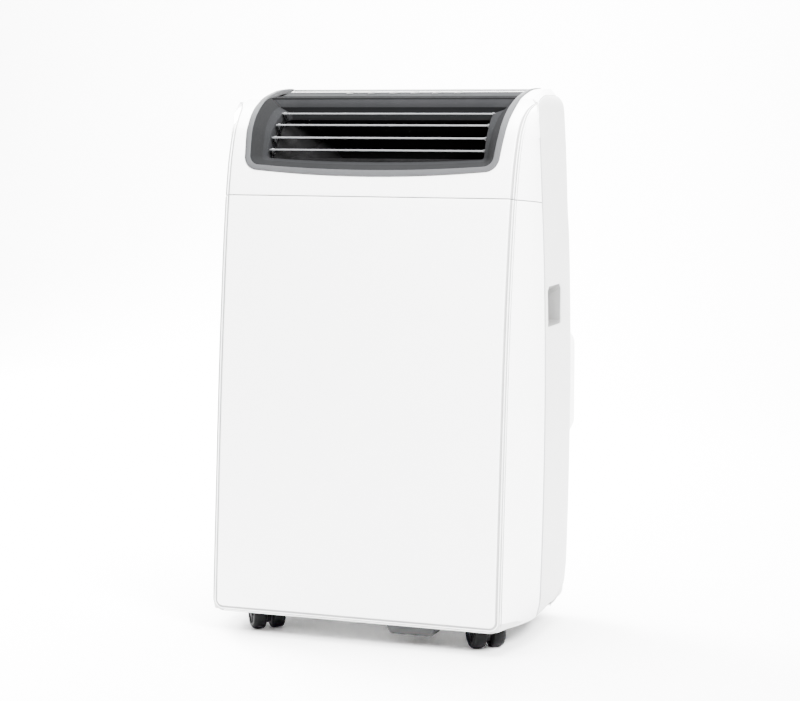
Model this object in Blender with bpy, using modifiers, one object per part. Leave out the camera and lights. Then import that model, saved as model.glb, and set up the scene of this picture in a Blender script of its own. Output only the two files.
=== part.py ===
"""Portable air conditioner on casters, built as the separate pieces it comes apart into.

Units are metres. X runs to the right as seen from the front, Y towards the back and Z up.
The origin lies on the floor under the middle of the whole footprint, exhaust housing included.
"""
import math

import bmesh
import bpy
from mathutils import Matrix, Vector

# ---------------------------------------------------------------- driving dimensions
GAP = 0.0003  # between two pieces that touch
SEAM = 0.0008  # width of a visible joint between two covers
WALL = 0.0028  # moulded covers
LID_RIM = 0.0110  # width of the top cover's solid edge

HEIGHT = 0.700
BOTTOM_Z = 0.028  # lowest edge of the covers
TRIM_HALF = 0.1957  # half width of the front face, its trim bead included
BELLY_HALF = 0.2184  # largest half width, on the side seam
BELLY_Z = 0.310  # height of the largest half width
LOWER_TAPER = 0.067  # how fast the half width falls off below the belly, per metre
UPPER_TAPER = 0.088  # and above it
SIDE_SEAM_Y = -0.0375  # joint between the front covers and the rear shell
BACK_Y = 0.1205  # outer face of the back wall
BACK_CORNER_R = 0.0435
REAR_FOOT_R = 0.045  # rounding from the back wall to the underside
REAR_TOP_R = 0.018
BOTTOM_EDGE_R = 0.009
SHOULDER_TOP_Z = 0.691  # top edge of the rear shell
SHOULDER_FRONT = (0.005, 0.010)  # inward and upward size of its rounding at the side seam
SHOULDER_BACK = (0.013, 0.019)  # and at the back corners
SHOULDER_BACK_Y = 0.084

# side view of the front face, from the bottom edge over the top: (y, z)
FACE_PROFILE = [
    (-0.1500, 0.028), (-0.1479, 0.070), (-0.1405, 0.166), (-0.1325, 0.269), (-0.1231, 0.372),
    (-0.1115, 0.474), (-0.1001, 0.551), (-0.0909, 0.596), (-0.0830, 0.621), (-0.0725, 0.645),
    (-0.0605, 0.660), (-0.0455, 0.672), (-0.0280, 0.6815), (-0.0120, 0.688), (0.0080, 0.693),
    (0.0320, 0.6975), (0.0560, 0.6994), (0.0720, 0.700), (0.0900, 0.700),
]
# lower edge of the top cover, seen from the side: (y, z)
SHOULDER_LINE = [
    (SIDE_SEAM_Y, 0.6742), (-0.027, 0.6795), (-0.017, 0.6837), (0.0, 0.6880), (0.016, SHOULDER_TOP_Z),
    (0.100, SHOULDER_TOP_Z), (BACK_Y + 0.010, 0.684),
]
TOP_FRONT_Y = -0.0175  # front edge of the top cover between its side bands
TOP_FRONT_HALF = 0.196
APEX_HALF = 0.2056  # where top cover, front cover and rear shell meet
FRONT_SEAM_Z = 0.558  # joint between the two front covers at the side seam
FRONT_SEAM_SLOPE = -0.10  # its rise per metre towards the back

BEZEL_HALF = 0.1777
BEZEL_LOW_HALF = 0.1715
BEZEL_BACK_Y = 0.078
OPENING_HALF = 0.147
CONSOLE_HALF = 0.166
CONSOLE_FRONT = (0.026, 0.6910)  # (y, z) of the console's sloping face
CONSOLE_BACK = (0.0625, 0.6975)
CONSOLE_THICKNESS = 0.004
BUTTON_R = 0.006
BUTTON_TRAVEL = 0.001
BUTTON_PITCH = 0.030
BUTTON_NAMES = ["power", "mode", "fan_speed", "timer", "temperature_down", "temperature_up"]

LOUVRE_CHORD = 0.016
LOUVRE_THICKNESS = 0.002
LOUVRE_HALF = 0.1415
LOUVRE_PIVOTS = [(-0.0235, 0.6675), (-0.0435, 0.653), (-0.0555, 0.637), (-0.0630, 0.6215)]
LOUVRE_ARM = 0.008  # pivot to link pin
LOUVRE_ARM_ANGLE = math.radians(-45)
PIVOT_R = 0.0013
LINK_INNER_X = -0.1437
LINK_THICKNESS = 0.0015

UPPER_AXIS = (0.0, 0.505)  # (x, z) of the room-air blower
UPPER_WHEEL_R = 0.085
LOWER_AXIS = (-0.060, 0.210)  # (x, z) of the condenser blower
LOWER_WHEEL_R = 0.080
EXHAUST_CENTRE = (0.115, 0.310)  # (x, z)
EXHAUST_HALF = (0.092, 0.075)
EXHAUST_FACE_Y = 0.150
PORT_R = 0.0625

CASTER_R = 0.020
CASTER_HALF_WIDTH = 0.022
CASTER_TRAIL = 0.019
CASTER_TURN = math.radians(-51.5)  # direction in which the wheels trail, from +X
CASTER_PIVOTS = {
    "front_left": (-0.150, -0.0875), "front_right": (0.150, -0.0875),
    "rear_left": (-0.140, 0.050), "rear_right": (0.140, 0.050),
}
WELL_R = 0.045
WELL_TOP_Z = 0.047
BASE_TOP_Z = 0.056

HANDLE_Y = (-0.0225, 0.038)
HANDLE_Z = (0.400, 0.450)
HANDLE_DEPTH = 0.028
INTAKE_HALF = 0.150
INTAKE_Z = (0.410, 0.600)
LOWER_INTAKE_X = (-0.150, 0.020)
LOWER_INTAKE_Z = (0.095, 0.325)
UPPER_DRAIN = (-0.060, 0.366)  # (x, z)
LOWER_DRAIN = (0.105, 0.100)
CORD_GLAND = (0.062, 0.150)

# ---------------------------------------------------------------- scene and materials
for old in list(bpy.data.objects):
    bpy.data.objects.remove(old)

PARTS = bpy.data.collections.new("portable_air_conditioner")
CUTTERS = bpy.data.collections.new("cutters")
for group in (PARTS, CUTTERS):
    bpy.context.scene.collection.children.link(group)


def material(name, colour, roughness, metallic=0.0):
    made = bpy.data.materials.new(name)
    made.use_nodes = True
    shader = made.node_tree.nodes["Principled BSDF"]
    shader.inputs["Base Color"].default_value = (*colour, 1.0)
    shader.inputs["Roughness"].default_value = roughness
    shader.inputs["Metallic"].default_value = metallic
    return made


WHITE = material("white_plastic", (0.86, 0.86, 0.85), 0.32)
GREY = material("grey_plastic", (0.28, 0.29, 0.30), 0.35)
LIGHT_GREY = material("light_grey_plastic", (0.42, 0.43, 0.44), 0.35)
DARK = material("dark_gloss_plastic", (0.05, 0.05, 0.055), 0.15)
BLACK = material("black_plastic", (0.015, 0.015, 0.016), 0.40)
DUCT = material("foam_duct", (0.03, 0.03, 0.03), 0.80)
STEEL = material("galvanised_steel", (0.55, 0.56, 0.57), 0.40, 0.9)
PAINTED = material("black_painted_steel", (0.03, 0.03, 0.03), 0.30)
COPPER = material("copper", (0.72, 0.40, 0.25), 0.30, 1.0)
FINS = material("aluminium_fins", (0.75, 0.76, 0.77), 0.35, 0.9)
MESH_CLOTH = material("filter_mesh", (0.08, 0.09, 0.10), 0.75)


# ---------------------------------------------------------------- modelling helpers
def add_object(name, mesh, look=None):
    """A part when it has a look, otherwise a cutter."""
    made = bpy.data.objects.new(name, mesh)
    if look is None:
        CUTTERS.objects.link(made)
        made.hide_render = True
        made.display_type = "WIRE"
    else:
        PARTS.objects.link(made)
        mesh.materials.append(look)
    return made


def finished(name, bm):
    mesh = bpy.data.meshes.new(name)
    bmesh.ops.recalc_face_normals(bm, faces=bm.faces)
    bm.to_mesh(mesh)
    bm.free()
    return mesh


def box(name, low, high, look=None):
    bm = bmesh.new()
    bmesh.ops.create_cube(bm, size=1.0)
    low, high = Vector(low), Vector(high)
    bmesh.ops.scale(bm, vec=high - low, verts=bm.verts)
    bmesh.ops.translate(bm, vec=(low + high) / 2, verts=bm.verts)
    return add_object(name, finished(name, bm), look)


def cylinder(name, start, end, radius, look=None, segments=24, end_radius=None):
    """A cylinder or cone between two points."""
    start, end = Vector(start), Vector(end)
    run = end - start
    bm = bmesh.new()
    bmesh.ops.create_cone(
        bm, cap_ends=True, segments=segments, radius1=radius,
        radius2=radius if end_radius is None else end_radius, depth=run.length)
    turn = Vector((0, 0, 1)).rotation_difference(run).to_matrix().to_4x4()
    bmesh.ops.transform(bm, matrix=Matrix.Translation((start + end) / 2) @ turn, verts=bm.verts)
    made = add_object(name, finished(name, bm), look)
    shade(made)
    return made


def shade(obj, degrees=35):
    obj.data.shade_smooth()
    obj.data.set_sharp_from_angle(angle=math.radians(degrees))


def mesh_of_curve(curve):
    """The curve's evaluated mesh, with its caps welded on."""
    holder = bpy.data.objects.new("curve", curve)
    bpy.context.scene.collection.objects.link(holder)
    bpy.context.view_layer.update()
    evaluated = holder.evaluated_get(bpy.context.evaluated_depsgraph_get())
    mesh = bpy.data.meshes.new_from_object(evaluated)
    bm = bmesh.new()
    bm.from_mesh(mesh)
    bmesh.ops.remove_doubles(bm, verts=bm.verts, dist=1e-6)
    bmesh.ops.recalc_face_normals(bm, faces=bm.faces)
    bm.to_mesh(mesh)
    bm.free()
    mesh.materials.clear()
    bpy.data.objects.remove(holder)
    return mesh


# how an outline's two numbers and its thickness direction map onto the axes
AXES = {
    "x": Matrix(((0, 0, 1, 0), (1, 0, 0, 0), (0, 1, 0, 0), (0, 0, 0, 1))),
    "y": Matrix(((1, 0, 0, 0), (0, 0, 1, 0), (0, 1, 0, 0), (0, 0, 0, 1))),
    "z": Matrix.Identity(4),
}


def plate(name, outline, axis, low, high, look=None):
    """A flat outline given thickness along an axis: (y, z) for x, (x, z) for y, (x, y) for z."""
    curve = bpy.data.curves.new(name, "CURVE")
    curve.dimensions = "2D"
    curve.fill_mode = "BOTH"
    curve.extrude = (high - low) / 2
    spline = curve.splines.new("POLY")
    spline.points.add(len(outline) - 1)
    for point, (a, b) in zip(spline.points, outline):
        point.co = (a, b, 0, 1)
    spline.use_cyclic_u = True
    mesh = mesh_of_curve(curve)
    shift = Matrix.Translation((0, 0, (low + high) / 2))
    mesh.transform(AXES[axis] @ shift)
    if axis == "y":
        mesh.flip_normals()
    return add_object(name, mesh, look)


def tube(name, route, radius, look, resolution=2):
    curve = bpy.data.curves.new(name, "CURVE")
    curve.dimensions = "3D"
    curve.bevel_depth = radius
    curve.bevel_resolution = resolution
    curve.use_fill_caps = True
    spline = curve.splines.new("POLY")
    spline.points.add(len(route) - 1)
    for point, place in zip(spline.points, route):
        point.co = (*place, 1)
    made = add_object(name, mesh_of_curve(curve), look)
    shade(made)
    return made


def loft(name, rings, look=None):
    """A closed solid through rings that all have the same number of points."""
    bm = bmesh.new()
    rows = [[bm.verts.new(point) for point in ring] for ring in rings]
    count = len(rows[0])
    for lower, upper in zip(rows, rows[1:]):
        for i in range(count):
            j = (i + 1) % count
            bm.faces.new((lower[i], lower[j], upper[j], upper[i]))
    bm.faces.new(rows[0])
    bm.faces.new(rows[-1])
    return add_object(name, finished(name, bm), look)


def turned(name, profile, look, steps=24):
    """A profile of (radius, z), from the top down its outer side, turned about Z."""
    mesh = bpy.data.meshes.new(name)
    closed = profile[0] == profile[-1]
    points = profile[:-1] if closed else profile
    edges = [(i, i + 1) for i in range(len(points) - 1)]
    if closed:
        edges.append((len(points) - 1, 0))
    mesh.from_pydata([(r, 0, z) for r, z in points], edges, [])
    made = add_object(name, mesh, look)
    screw = made.modifiers.new("turn", "SCREW")
    screw.steps = steps
    screw.render_steps = steps
    screw.use_merge_vertices = True
    screw.merge_threshold = 0.00005
    screw.use_smooth_shade = True
    return made


def boolean(obj, operation, *others):
    for other in others:
        step = obj.modifiers.new(operation.lower(), "BOOLEAN")
        step.operation = operation
        step.solver = "EXACT"
        step.object = other


def bevel(obj, width, segments=2, degrees=40):
    step = obj.modifiers.new("edges", "BEVEL")
    step.width = width
    step.segments = segments
    step.limit_method = "ANGLE"
    step.angle_limit = math.radians(degrees)


def set_origin(obj, point):
    """Moves the object's origin to a point on its joint's axis; the shape stays where it is."""
    obj.data.transform(Matrix.Translation(-Vector(point)))
    obj.location = point


def smooth_curve(points, per_span):
    """Points along a Catmull-Rom curve through the given ones."""
    padded = [points[0], *points, points[-1]]
    curve = []
    for p0, p1, p2, p3 in zip(padded, padded[1:], padded[2:], padded[3:]):
        for step in range(per_span):
            t = step / per_span
            curve.append(tuple(
                0.5 * (2 * b + (c - a) * t + (2 * a - 5 * b + 4 * c - d) * t * t
                       + (3 * b - a - 3 * c + d) * t ** 3)
                for a, b, c, d in zip(p0, p1, p2, p3)))
    curve.append(tuple(points[-1]))
    return curve


def arc(centre, radius, start, end, steps):
    """Points on an arc, angles in degrees."""
    angles = [math.radians(start + (end - start) * i / steps) for i in range(steps + 1)]
    return [(centre[0] + radius * math.cos(a), centre[1] + radius * math.sin(a)) for a in angles]


def rounded_rectangle(low, high, radius, steps=3):
    corners = [(high[0], high[1], 0), (low[0], high[1], 90), (low[0], low[1], 180), (high[0], low[1], 270)]
    outline = []
    for x, z, start in corners:
        centre = (x - math.copysign(radius, x - low[0] - radius),
                  z - math.copysign(radius, z - low[1] - radius))
        outline += arc(centre, radius, start, start + 90, steps)
    return outline


def inset_outline(outline, distance):
    """A closed outline, listed clockwise, moved inwards by a distance."""
    moved = []
    count = len(outline)
    for i, (x, y) in enumerate(outline):
        before, after = outline[i - 1], outline[(i + 1) % count]
        d1 = Vector((x - before[0], y - before[1])).normalized()
        d2 = Vector((after[0] - x, after[1] - y)).normalized()
        n1, n2 = Vector((d1.y, -d1.x)), Vector((d2.y, -d2.x))
        middle = (n1 + n2).normalized()
        reach = distance / max(middle.dot(n1), 0.3)
        moved.append((x + middle.x * reach, y + middle.y * reach))
    return moved


# ---------------------------------------------------------------- the housing's outer form
FACE_CURVE = [(y, min(z, HEIGHT)) for y, z in smooth_curve(FACE_PROFILE, 2)]


def along_face(value, key, wanted):
    """Reads one number of the face curve where another one has a value."""
    for a, b in zip(FACE_CURVE, FACE_CURVE[1:]):
        if a[key] <= value <= b[key]:
            share = (value - a[key]) / max(b[key] - a[key], 1e-9)
            return a[wanted] + (b[wanted] - a[wanted]) * share
    return FACE_CURVE[0][wanted] if value < FACE_CURVE[0][key] else FACE_CURVE[-1][wanted]


def face_y(z):
    return along_face(z, 1, 0)


def face_z(y):
    """Height of the face curve, level behind its last rise."""
    return along_face(min(y, 0.090), 0, 1)


def half_width(z):
    taper = LOWER_TAPER if z < BELLY_Z else UPPER_TAPER
    return BELLY_HALF - taper * (z - BELLY_Z) ** 2


def quarter(share):
    """How far a quarter-round has come in, from 0 at its start to 1 at its end."""
    share = min(max(share, 0.0), 1.0)
    return 1 - math.sqrt(1 - share * share)


def edge_inset(y, z):
    """Inward rounding of the sides at the bottom edge and at the shoulders."""
    back = min(max((y - SIDE_SEAM_Y) / (SHOULDER_BACK_Y - SIDE_SEAM_Y), 0.0), 1.0)
    inward, upward = (f + (b - f) * back for f, b in zip(SHOULDER_FRONT, SHOULDER_BACK))
    shoulder = inward * quarter((z - SHOULDER_TOP_Z + upward) / upward)
    return shoulder + BOTTOM_EDGE_R * quarter((BOTTOM_Z + BOTTOM_EDGE_R - z) / BOTTOM_EDGE_R)


def side_x(y, z):
    """Half width of the flank in front of the side seam: it swells out from the trim."""
    front = min(face_y(z), SIDE_SEAM_Y - 0.015)
    share = min(max((y - front) / (SIDE_SEAM_Y - front), 0.0), 1.0)
    return TRIM_HALF + (half_width(z) - TRIM_HALF) * math.sin(math.pi / 2 * share)


def plan_ring(z, inset=0.0, at_z=None):
    """The housing's plan outline at a height, without the front face, as a closed ring."""
    level = min(max(z, BOTTOM_Z), HEIGHT)
    front = min(face_y(level), SIDE_SEAM_Y - 0.015)
    right = [(TRIM_HALF - inset, -0.180 + inset)]
    for i in range(5):
        y = front + (SIDE_SEAM_Y - front) * i / 5
        right.append((side_x(y, level) - edge_inset(y, level) - inset, y))
    wide = half_width(level)
    centre = (wide - BACK_CORNER_R, BACK_Y - BACK_CORNER_R)
    for y in (SIDE_SEAM_Y, centre[1]):
        right.append((wide - edge_inset(y, level) - inset, y))
    for i in range(1, 7):
        angle = math.radians(15 * i)
        y = centre[1] + BACK_CORNER_R * math.sin(angle)
        reach = BACK_CORNER_R - edge_inset(y, level) - inset
        right.append((centre[0] + reach * math.cos(angle), centre[1] + reach * math.sin(angle)))
    height = z if at_z is None else at_z
    ring = [(x, y, height) for x, y in right]
    return ring + [(-x, y, height) for x, y in reversed(right)]


FORM_LEVELS = [0.028, 0.0295, 0.0325, 0.037, 0.120, 0.210, 0.310, 0.420, 0.520, 0.590, 0.640, 0.668,
               0.676, 0.682, 0.687, 0.691, 0.705]


def side_outline(inset=0.0, open_bottom=False):
    """The housing seen from the side, as a clockwise (y, z) outline."""
    front = [p for p in FACE_CURVE if p[0] < BACK_Y - REAR_TOP_R - 0.008]
    top_back = arc((BACK_Y - REAR_TOP_R, HEIGHT - REAR_TOP_R), REAR_TOP_R, 90, 0, 3)
    foot = arc((BACK_Y - REAR_FOOT_R, BOTTOM_Z + REAR_FOOT_R), REAR_FOOT_R, 0, -90, 5)
    outline = inset_outline(front + top_back + foot, inset)
    if open_bottom:
        outline[0] = (outline[0][0], BOTTOM_Z - 0.010)
        outline[-1] = (outline[-1][0], BOTTOM_Z - 0.010)
    return outline


def housing_form(name, inset=0.0, open_bottom=False, look=None):
    """The whole housing as one block, moved inwards by the inset."""
    levels = list(FORM_LEVELS)
    if open_bottom:
        levels[0] = BOTTOM_Z - 0.012
    profile = plate(f"{name}_profile", side_outline(inset, open_bottom), "x", -0.24, 0.24)
    made = loft(name, [plan_ring(z, inset) for z in levels], look)
    boolean(made, "INTERSECT", profile)
    return made


INNER_FORM = housing_form("inner_form", WALL, open_bottom=True)


def shoulder_side(name, above):
    """Everything above, or below, the joint between the top cover and the rear shell."""
    offset = SEAM / 2 if above else -SEAM / 2
    line = [(y, z + offset) for y, z in SHOULDER_LINE]
    line[0] = (-0.060, line[0][1]) if above else line[0]
    edge = 0.720 if above else 0.0
    return [(line[0][0], edge), *line, (line[-1][0], edge)]


def bezel_notch():
    """Front view of the opening that the bezel fills in the covers, as (x, z)."""
    half, low = BEZEL_HALF + GAP, BEZEL_LOW_HALF + GAP
    right = [(half, 0.720), (half, 0.672), (half - 0.0022, 0.648), (low, 0.620)]
    right += arc((low - 0.019, 0.614), 0.019, -5, -75, 4)
    right += [(0.100, 0.5925 - GAP), (0.050, 0.5902 - GAP)]
    return right + [(0.0, 0.5893 - GAP)] + [(-x, z) for x, z in reversed(right)]


NOTCH = plate("bezel_notch", bezel_notch(), "y", -0.170, BEZEL_BACK_Y + GAP)


def make_front_panel():
    panel = housing_form("front_panel", look=WHITE)
    y = SIDE_SEAM_Y - SEAM / 2
    front_z = FRONT_SEAM_Z + FRONT_SEAM_SLOPE * (-0.170 - SIDE_SEAM_Y) - SEAM / 2
    region = [(-0.170, 0.0), (-0.170, front_z), (y, FRONT_SEAM_Z - SEAM / 2), (y, 0.0)]
    boolean(panel, "INTERSECT", plate("front_panel_region", region, "x", -0.24, 0.24))
    boolean(panel, "DIFFERENCE", INNER_FORM)


def make_upper_front_cover():
    cover = housing_form("upper_front_cover", look=WHITE)
    front_z = FRONT_SEAM_Z + FRONT_SEAM_SLOPE * (-0.170 - SIDE_SEAM_Y) + SEAM / 2
    low = [(-0.170, front_z), (-0.170, 0.720), (0.0, 0.720), (0.0, FRONT_SEAM_Z + SEAM / 2 - 0.00375)]
    side, top = SIDE_SEAM_Y - SEAM / 2, TOP_FRONT_Y - SEAM / 2
    right = [(0.24, -0.20), (0.24, side), (APEX_HALF, side), (TOP_FRONT_HALF, top)]
    plan = right + [(-x, y) for x, y in reversed(right)]
    boolean(cover, "INTERSECT", plate("upper_front_low", low, "x", -0.24, 0.24),
            plate("upper_front_plan", plan, "z", 0.50, 0.72))
    behind = [(y, z) for y, z in shoulder_side("behind", True)[2:] if y < 0.020]
    behind = [(side, 0.50), (side, SHOULDER_LINE[0][1] + SEAM / 2), *behind, (behind[-1][0], 0.50)]
    boolean(cover, "DIFFERENCE", INNER_FORM, NOTCH, plate("cover_behind", behind, "x", -0.24, 0.24))


def lid_form(name, look=None):
    """The top cover's block: upright edge, then a bevelled side band that rises to the ridge."""
    band_in, band_up = 0.0085, 0.0095
    outline = plan_ring(SHOULDER_TOP_Z, GAP)
    ridge_line = plan_ring(SHOULDER_TOP_Z, GAP + band_in)
    rise = [face_z(max(y, -0.060)) for _, y, _ in outline]
    lower = [(x, y, 0.640) for x, y, _ in outline]
    edge = [(x, y, z - band_up) for (x, y, _), z in zip(outline, rise)]
    ridge = [(x, y, z) for (x, y, _), z in zip(ridge_line, rise)]
    above = [(x, y, 0.720) for x, y, _ in ridge_line]
    made = loft(name, [lower, edge, ridge, above], look)
    profile = plate(f"{name}_profile", side_outline(open_bottom=True), "x", -0.24, 0.24)
    boolean(made, "INTERSECT", profile)
    return made


def make_top_cover():
    cover = lid_form("top_cover", WHITE)
    side, top = SIDE_SEAM_Y + SEAM / 2, TOP_FRONT_Y + SEAM / 2
    right = [(0.24, 0.14), (0.24, side), (APEX_HALF + 0.0003, side), (TOP_FRONT_HALF, top)]
    plan = right + [(-x, y) for x, y in reversed(right)]
    above = plate("above_shoulder", shoulder_side("above", True), "x", -0.24, 0.24)
    boolean(cover, "INTERSECT", above, plate("top_cover_plan", plan, "z", 0.64, 0.72))
    inside = [(x, y) for x, y, _ in plan_ring(SHOULDER_TOP_Z, LID_RIM)]
    room = plate("lid_room", inside, "z", 0.660, 0.720)
    boolean(room, "INTERSECT", plate("lid_room_profile", side_outline(WALL, True), "x", -0.24, 0.24))
    boolean(cover, "DIFFERENCE", room, NOTCH)


def make_rear_shell():
    shell = housing_form("rear_shell", look=WHITE)
    below = shoulder_side("below", False)
    region = [(max(y, SIDE_SEAM_Y + SEAM / 2), z) for y, z in below]
    boolean(shell, "INTERSECT", plate("rear_region", region, "x", -0.24, 0.24))
    boolean(shell, "DIFFERENCE", INNER_FORM)
    lid_hole = [(x, y) for x, y, _ in plan_ring(SHOULDER_TOP_Z, WALL + GAP)]
    openings = [
        plate("lid_hole", lid_hole, "z", 0.668, 0.720),
        box("intake_hole", (-INTAKE_HALF, 0.09, INTAKE_Z[0]), (INTAKE_HALF, 0.14, INTAKE_Z[1])),
        box("lower_intake_hole", (LOWER_INTAKE_X[0], 0.09, LOWER_INTAKE_Z[0]),
            (LOWER_INTAKE_X[1], 0.14, LOWER_INTAKE_Z[1])),
        hole_y("exhaust_hole", EXHAUST_CENTRE, PORT_R + 0.004, 36),
        hole_y("upper_drain_hole", UPPER_DRAIN, 0.0076),
        hole_y("lower_drain_hole", LOWER_DRAIN, 0.0076),
        hole_y("gland_hole", CORD_GLAND, 0.0083),
        box("handle_hole", (-0.24, HANDLE_Y[0] - 0.002, HANDLE_Z[0] - 0.002),
            (0.24, HANDLE_Y[1] + 0.002, HANDLE_Z[1] + 0.002)),
    ]
    openings += [caster_well(name) for name in ("rear_left", "rear_right")]
    boolean(shell, "DIFFERENCE", *openings)


def hole_y(name, centre, radius, segments=20):
    x, z = centre
    return cylinder(name, (x, 0.085, z), (x, 0.170, z), radius, segments=segments)


def caster_well(name):
    x, y = CASTER_PIVOTS[name]
    return cylinder(f"well_{name}", (x, y, 0.0), (x, y, WELL_TOP_Z), WELL_R)


def make_handle_cups():
    """Finger recesses in the flanks: a cup whose roof slopes down towards the inside."""
    y0, y1 = HANDLE_Y
    z0, z1 = HANDLE_Z
    mouth = half_width((z0 + z1) / 2) - 0.0006
    for side, name in ((-1, "left"), (1, "right")):
        bottom = mouth - HANDLE_DEPTH
        outer = [(bottom - 0.002, z0 - 0.0016), (mouth, z0 - 0.0016), (mouth, z1 + 0.0016),
                 (bottom - 0.002, z1 - 0.010)]
        inner = [(bottom, z0 + 0.0005), (mouth + 0.002, z0 + 0.0005), (mouth + 0.002, z1),
                 (bottom, z1 - 0.012)]
        outer, inner = ([(side * x, z) for x, z in outline] for outline in (outer, inner))
        cup = plate(f"handle_cup_{name}", outer, "y", y0 - 0.0016, y1 + 0.0016, WHITE)
        room = plate(f"handle_room_{name}", inner, "y", y0 + 0.0005, y1 - 0.0005)
        boolean(cup, "DIFFERENCE", room)


def make_base_pan():
    pan = housing_form("base_pan", WALL + 0.0004, look=LIGHT_GREY)
    boolean(pan, "INTERSECT", box("pan_slab", (-0.23, -0.16, BOTTOM_Z + 0.0005), (0.23, 0.13, BASE_TOP_Z)))
    tray = [(x, y) for x, y, _ in plan_ring(0.060, 0.012) if y > -0.135]
    tray = [(x, max(y, -0.130)) for x, y in tray]
    boolean(pan, "DIFFERENCE", plate("pan_tray", tray, "z", 0.0505, 0.070))
    for name, (x, y) in CASTER_PIVOTS.items():
        stem = cylinder(f"stem_hole_{name}", (x, y, 0.04), (x, y, 0.07), 0.0043, segments=16)
        boolean(pan, "DIFFERENCE", caster_well(name), stem)


def make_drain_sump():
    rings = []
    for x0, x1, y0, y1, z in ((0.044, 0.098, -0.124, -0.098, 0.013), (0.036, 0.104, -0.130, -0.092, 0.0282)):
        rings.append([(x0, y0, z), (x1, y0, z), (x1, y1, z), (x0, y1, z)])
    sump = loft("drain_sump", rings, LIGHT_GREY)
    bevel(sump, 0.002)


# ---------------------------------------------------------------- air outlet and controls
def skin(x, y_on_face, depth):
    """A point under the front face: below the face point at y_on_face, by a depth along the normal."""
    z = face_z(y_on_face)
    ahead, behind = y_on_face + 0.002, y_on_face - 0.002
    run = Vector((ahead - behind, face_z(ahead) - face_z(behind))).normalized()
    return Vector((x, y_on_face + run.y * depth, z - run.x * depth))


def frame_loop(low_half, high_half, low_z, sag, high_y, low_r):
    """Closed loop around the outlet, as (x, y on the face), from the middle of the bottom edge."""
    corner_x = low_half - low_r
    right = []
    for share in (0.0, 0.35, 0.7, 1.0):
        x = corner_x * share
        right.append((x, face_y(low_z + sag * share * share)))
    corner_z = low_z + sag
    for degrees in (30, 60, 90):
        angle = math.radians(degrees)
        x = corner_x + low_r * math.sin(angle)
        right.append((x, face_y(corner_z + low_r * (1 - math.cos(angle)))))
    side_start = face_y(corner_z + low_r)
    for share in (0.25, 0.5, 0.75, 1.0):
        y = side_start + (high_y - side_start) * share
        widen = min(share * 1.6, 1.0)
        right.append((low_half + (high_half - low_half) * widen, y))
    right += [(high_half * 0.6, high_y), (0.0, high_y)]
    return right + [(-x, y) for x, y in reversed(right[1:-1])]


def bezel_frame():
    """The frame around the outlet: rim, sloping recess wall, inner frame and throat."""
    rim = frame_loop(BEZEL_LOW_HALF, BEZEL_HALF, 0.5895, 0.007, 0.024, 0.019)
    rim_in = frame_loop(0.1640, 0.1702, 0.5975, 0.0055, -0.002, 0.013)
    wall = frame_loop(0.1505, 0.1560, 0.6065, 0.005, -0.010, 0.008)
    wall_back = frame_loop(0.1530, 0.1585, 0.6045, 0.005, -0.005, 0.009)
    opening = frame_loop(OPENING_HALF, OPENING_HALF, 0.6080, 0.005, -0.0135, 0.005)
    opening_back = frame_loop(OPENING_HALF + 0.0025, OPENING_HALF + 0.0025, 0.6050, 0.005, -0.0105, 0.007)
    rim_back = frame_loop(BEZEL_LOW_HALF - 0.0003, BEZEL_HALF - 0.0003, 0.5908, 0.007, 0.0235, 0.019)
    rim_in_back = frame_loop(0.1665, 0.1727, 0.5955, 0.0055, 0.001, 0.015)

    def level(loop, depth, top_depth):
        ring = []
        for x, y in loop:
            lower = min(max((y + 0.002) / 0.026, 0.0), 1.0)
            ring.append(skin(x, y, depth + (top_depth - depth) * lower))
        return ring

    rows = [
        level(rim_back, 0.0042, 0.0083), level(rim, 0.0010, 0.0053), level(rim_in, 0.0012, 0.0053),
        level(wall, 0.0115, 0.0115), level(opening, 0.0120, 0.0120), level(opening, 0.0270, 0.0270),
        level(opening_back, 0.0270, 0.0270), level(wall_back, 0.0145, 0.0145),
        level(rim_in_back, 0.0042, 0.0083),
    ]
    bm = bmesh.new()
    rows = [[bm.verts.new(point) for point in row] for row in rows]
    count = len(rows[0])
    for k, row in enumerate(rows):
        following = rows[(k + 1) % len(rows)]
        for i in range(count):
            j = (i + 1) % count
            bm.faces.new((row[i], row[j], following[j], following[i]))
    return add_object("outlet_bezel", finished("outlet_bezel", bm), GREY)


def make_outlet_bezel():
    bezel = bezel_frame()
    stations = [-0.006] + [0.004 + (BEZEL_BACK_Y - 0.004) * i / 7 for i in range(8)]
    for side, name in ((-1, "left"), (1, "right")):
        rings = []
        for y in stations:
            top = [skin(side * x, y, 0.0010) for x in (0.1702, BEZEL_HALF)]
            low = [skin(side * x, y, 0.0120) for x in (BEZEL_HALF, 0.1702)]
            rings.append(top + low)
        boolean(bezel, "UNION", loft(f"bezel_arm_{name}", rings))
    back = box("bezel_back_bar", (-BEZEL_HALF, BEZEL_BACK_Y - 0.007, 0.688),
               (BEZEL_HALF, BEZEL_BACK_Y, 0.699))
    floor = [(0.0205, 0.6835), (0.0205, 0.6860), (0.074, 0.6910), (0.074, 0.6880)]
    tray = plate("bezel_tray", floor, "x", -0.1715, 0.1715)
    boolean(bezel, "UNION", back, tray)
    for i, (y, z) in enumerate(LOUVRE_PIVOTS):
        reach = 0.170 if i == len(LOUVRE_PIVOTS) - 1 else 0.1505
        boolean(bezel, "DIFFERENCE", cylinder(f"pivot_hole_{i + 1}", (-0.1505, y, z), (reach, y, z),
                                              PIVOT_R + GAP, segments=12))


def console_normal():
    run = Vector((0, CONSOLE_BACK[0] - CONSOLE_FRONT[0], CONSOLE_BACK[1] - CONSOLE_FRONT[1])).normalized()
    return Vector((0, -run.z, run.y))


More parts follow.
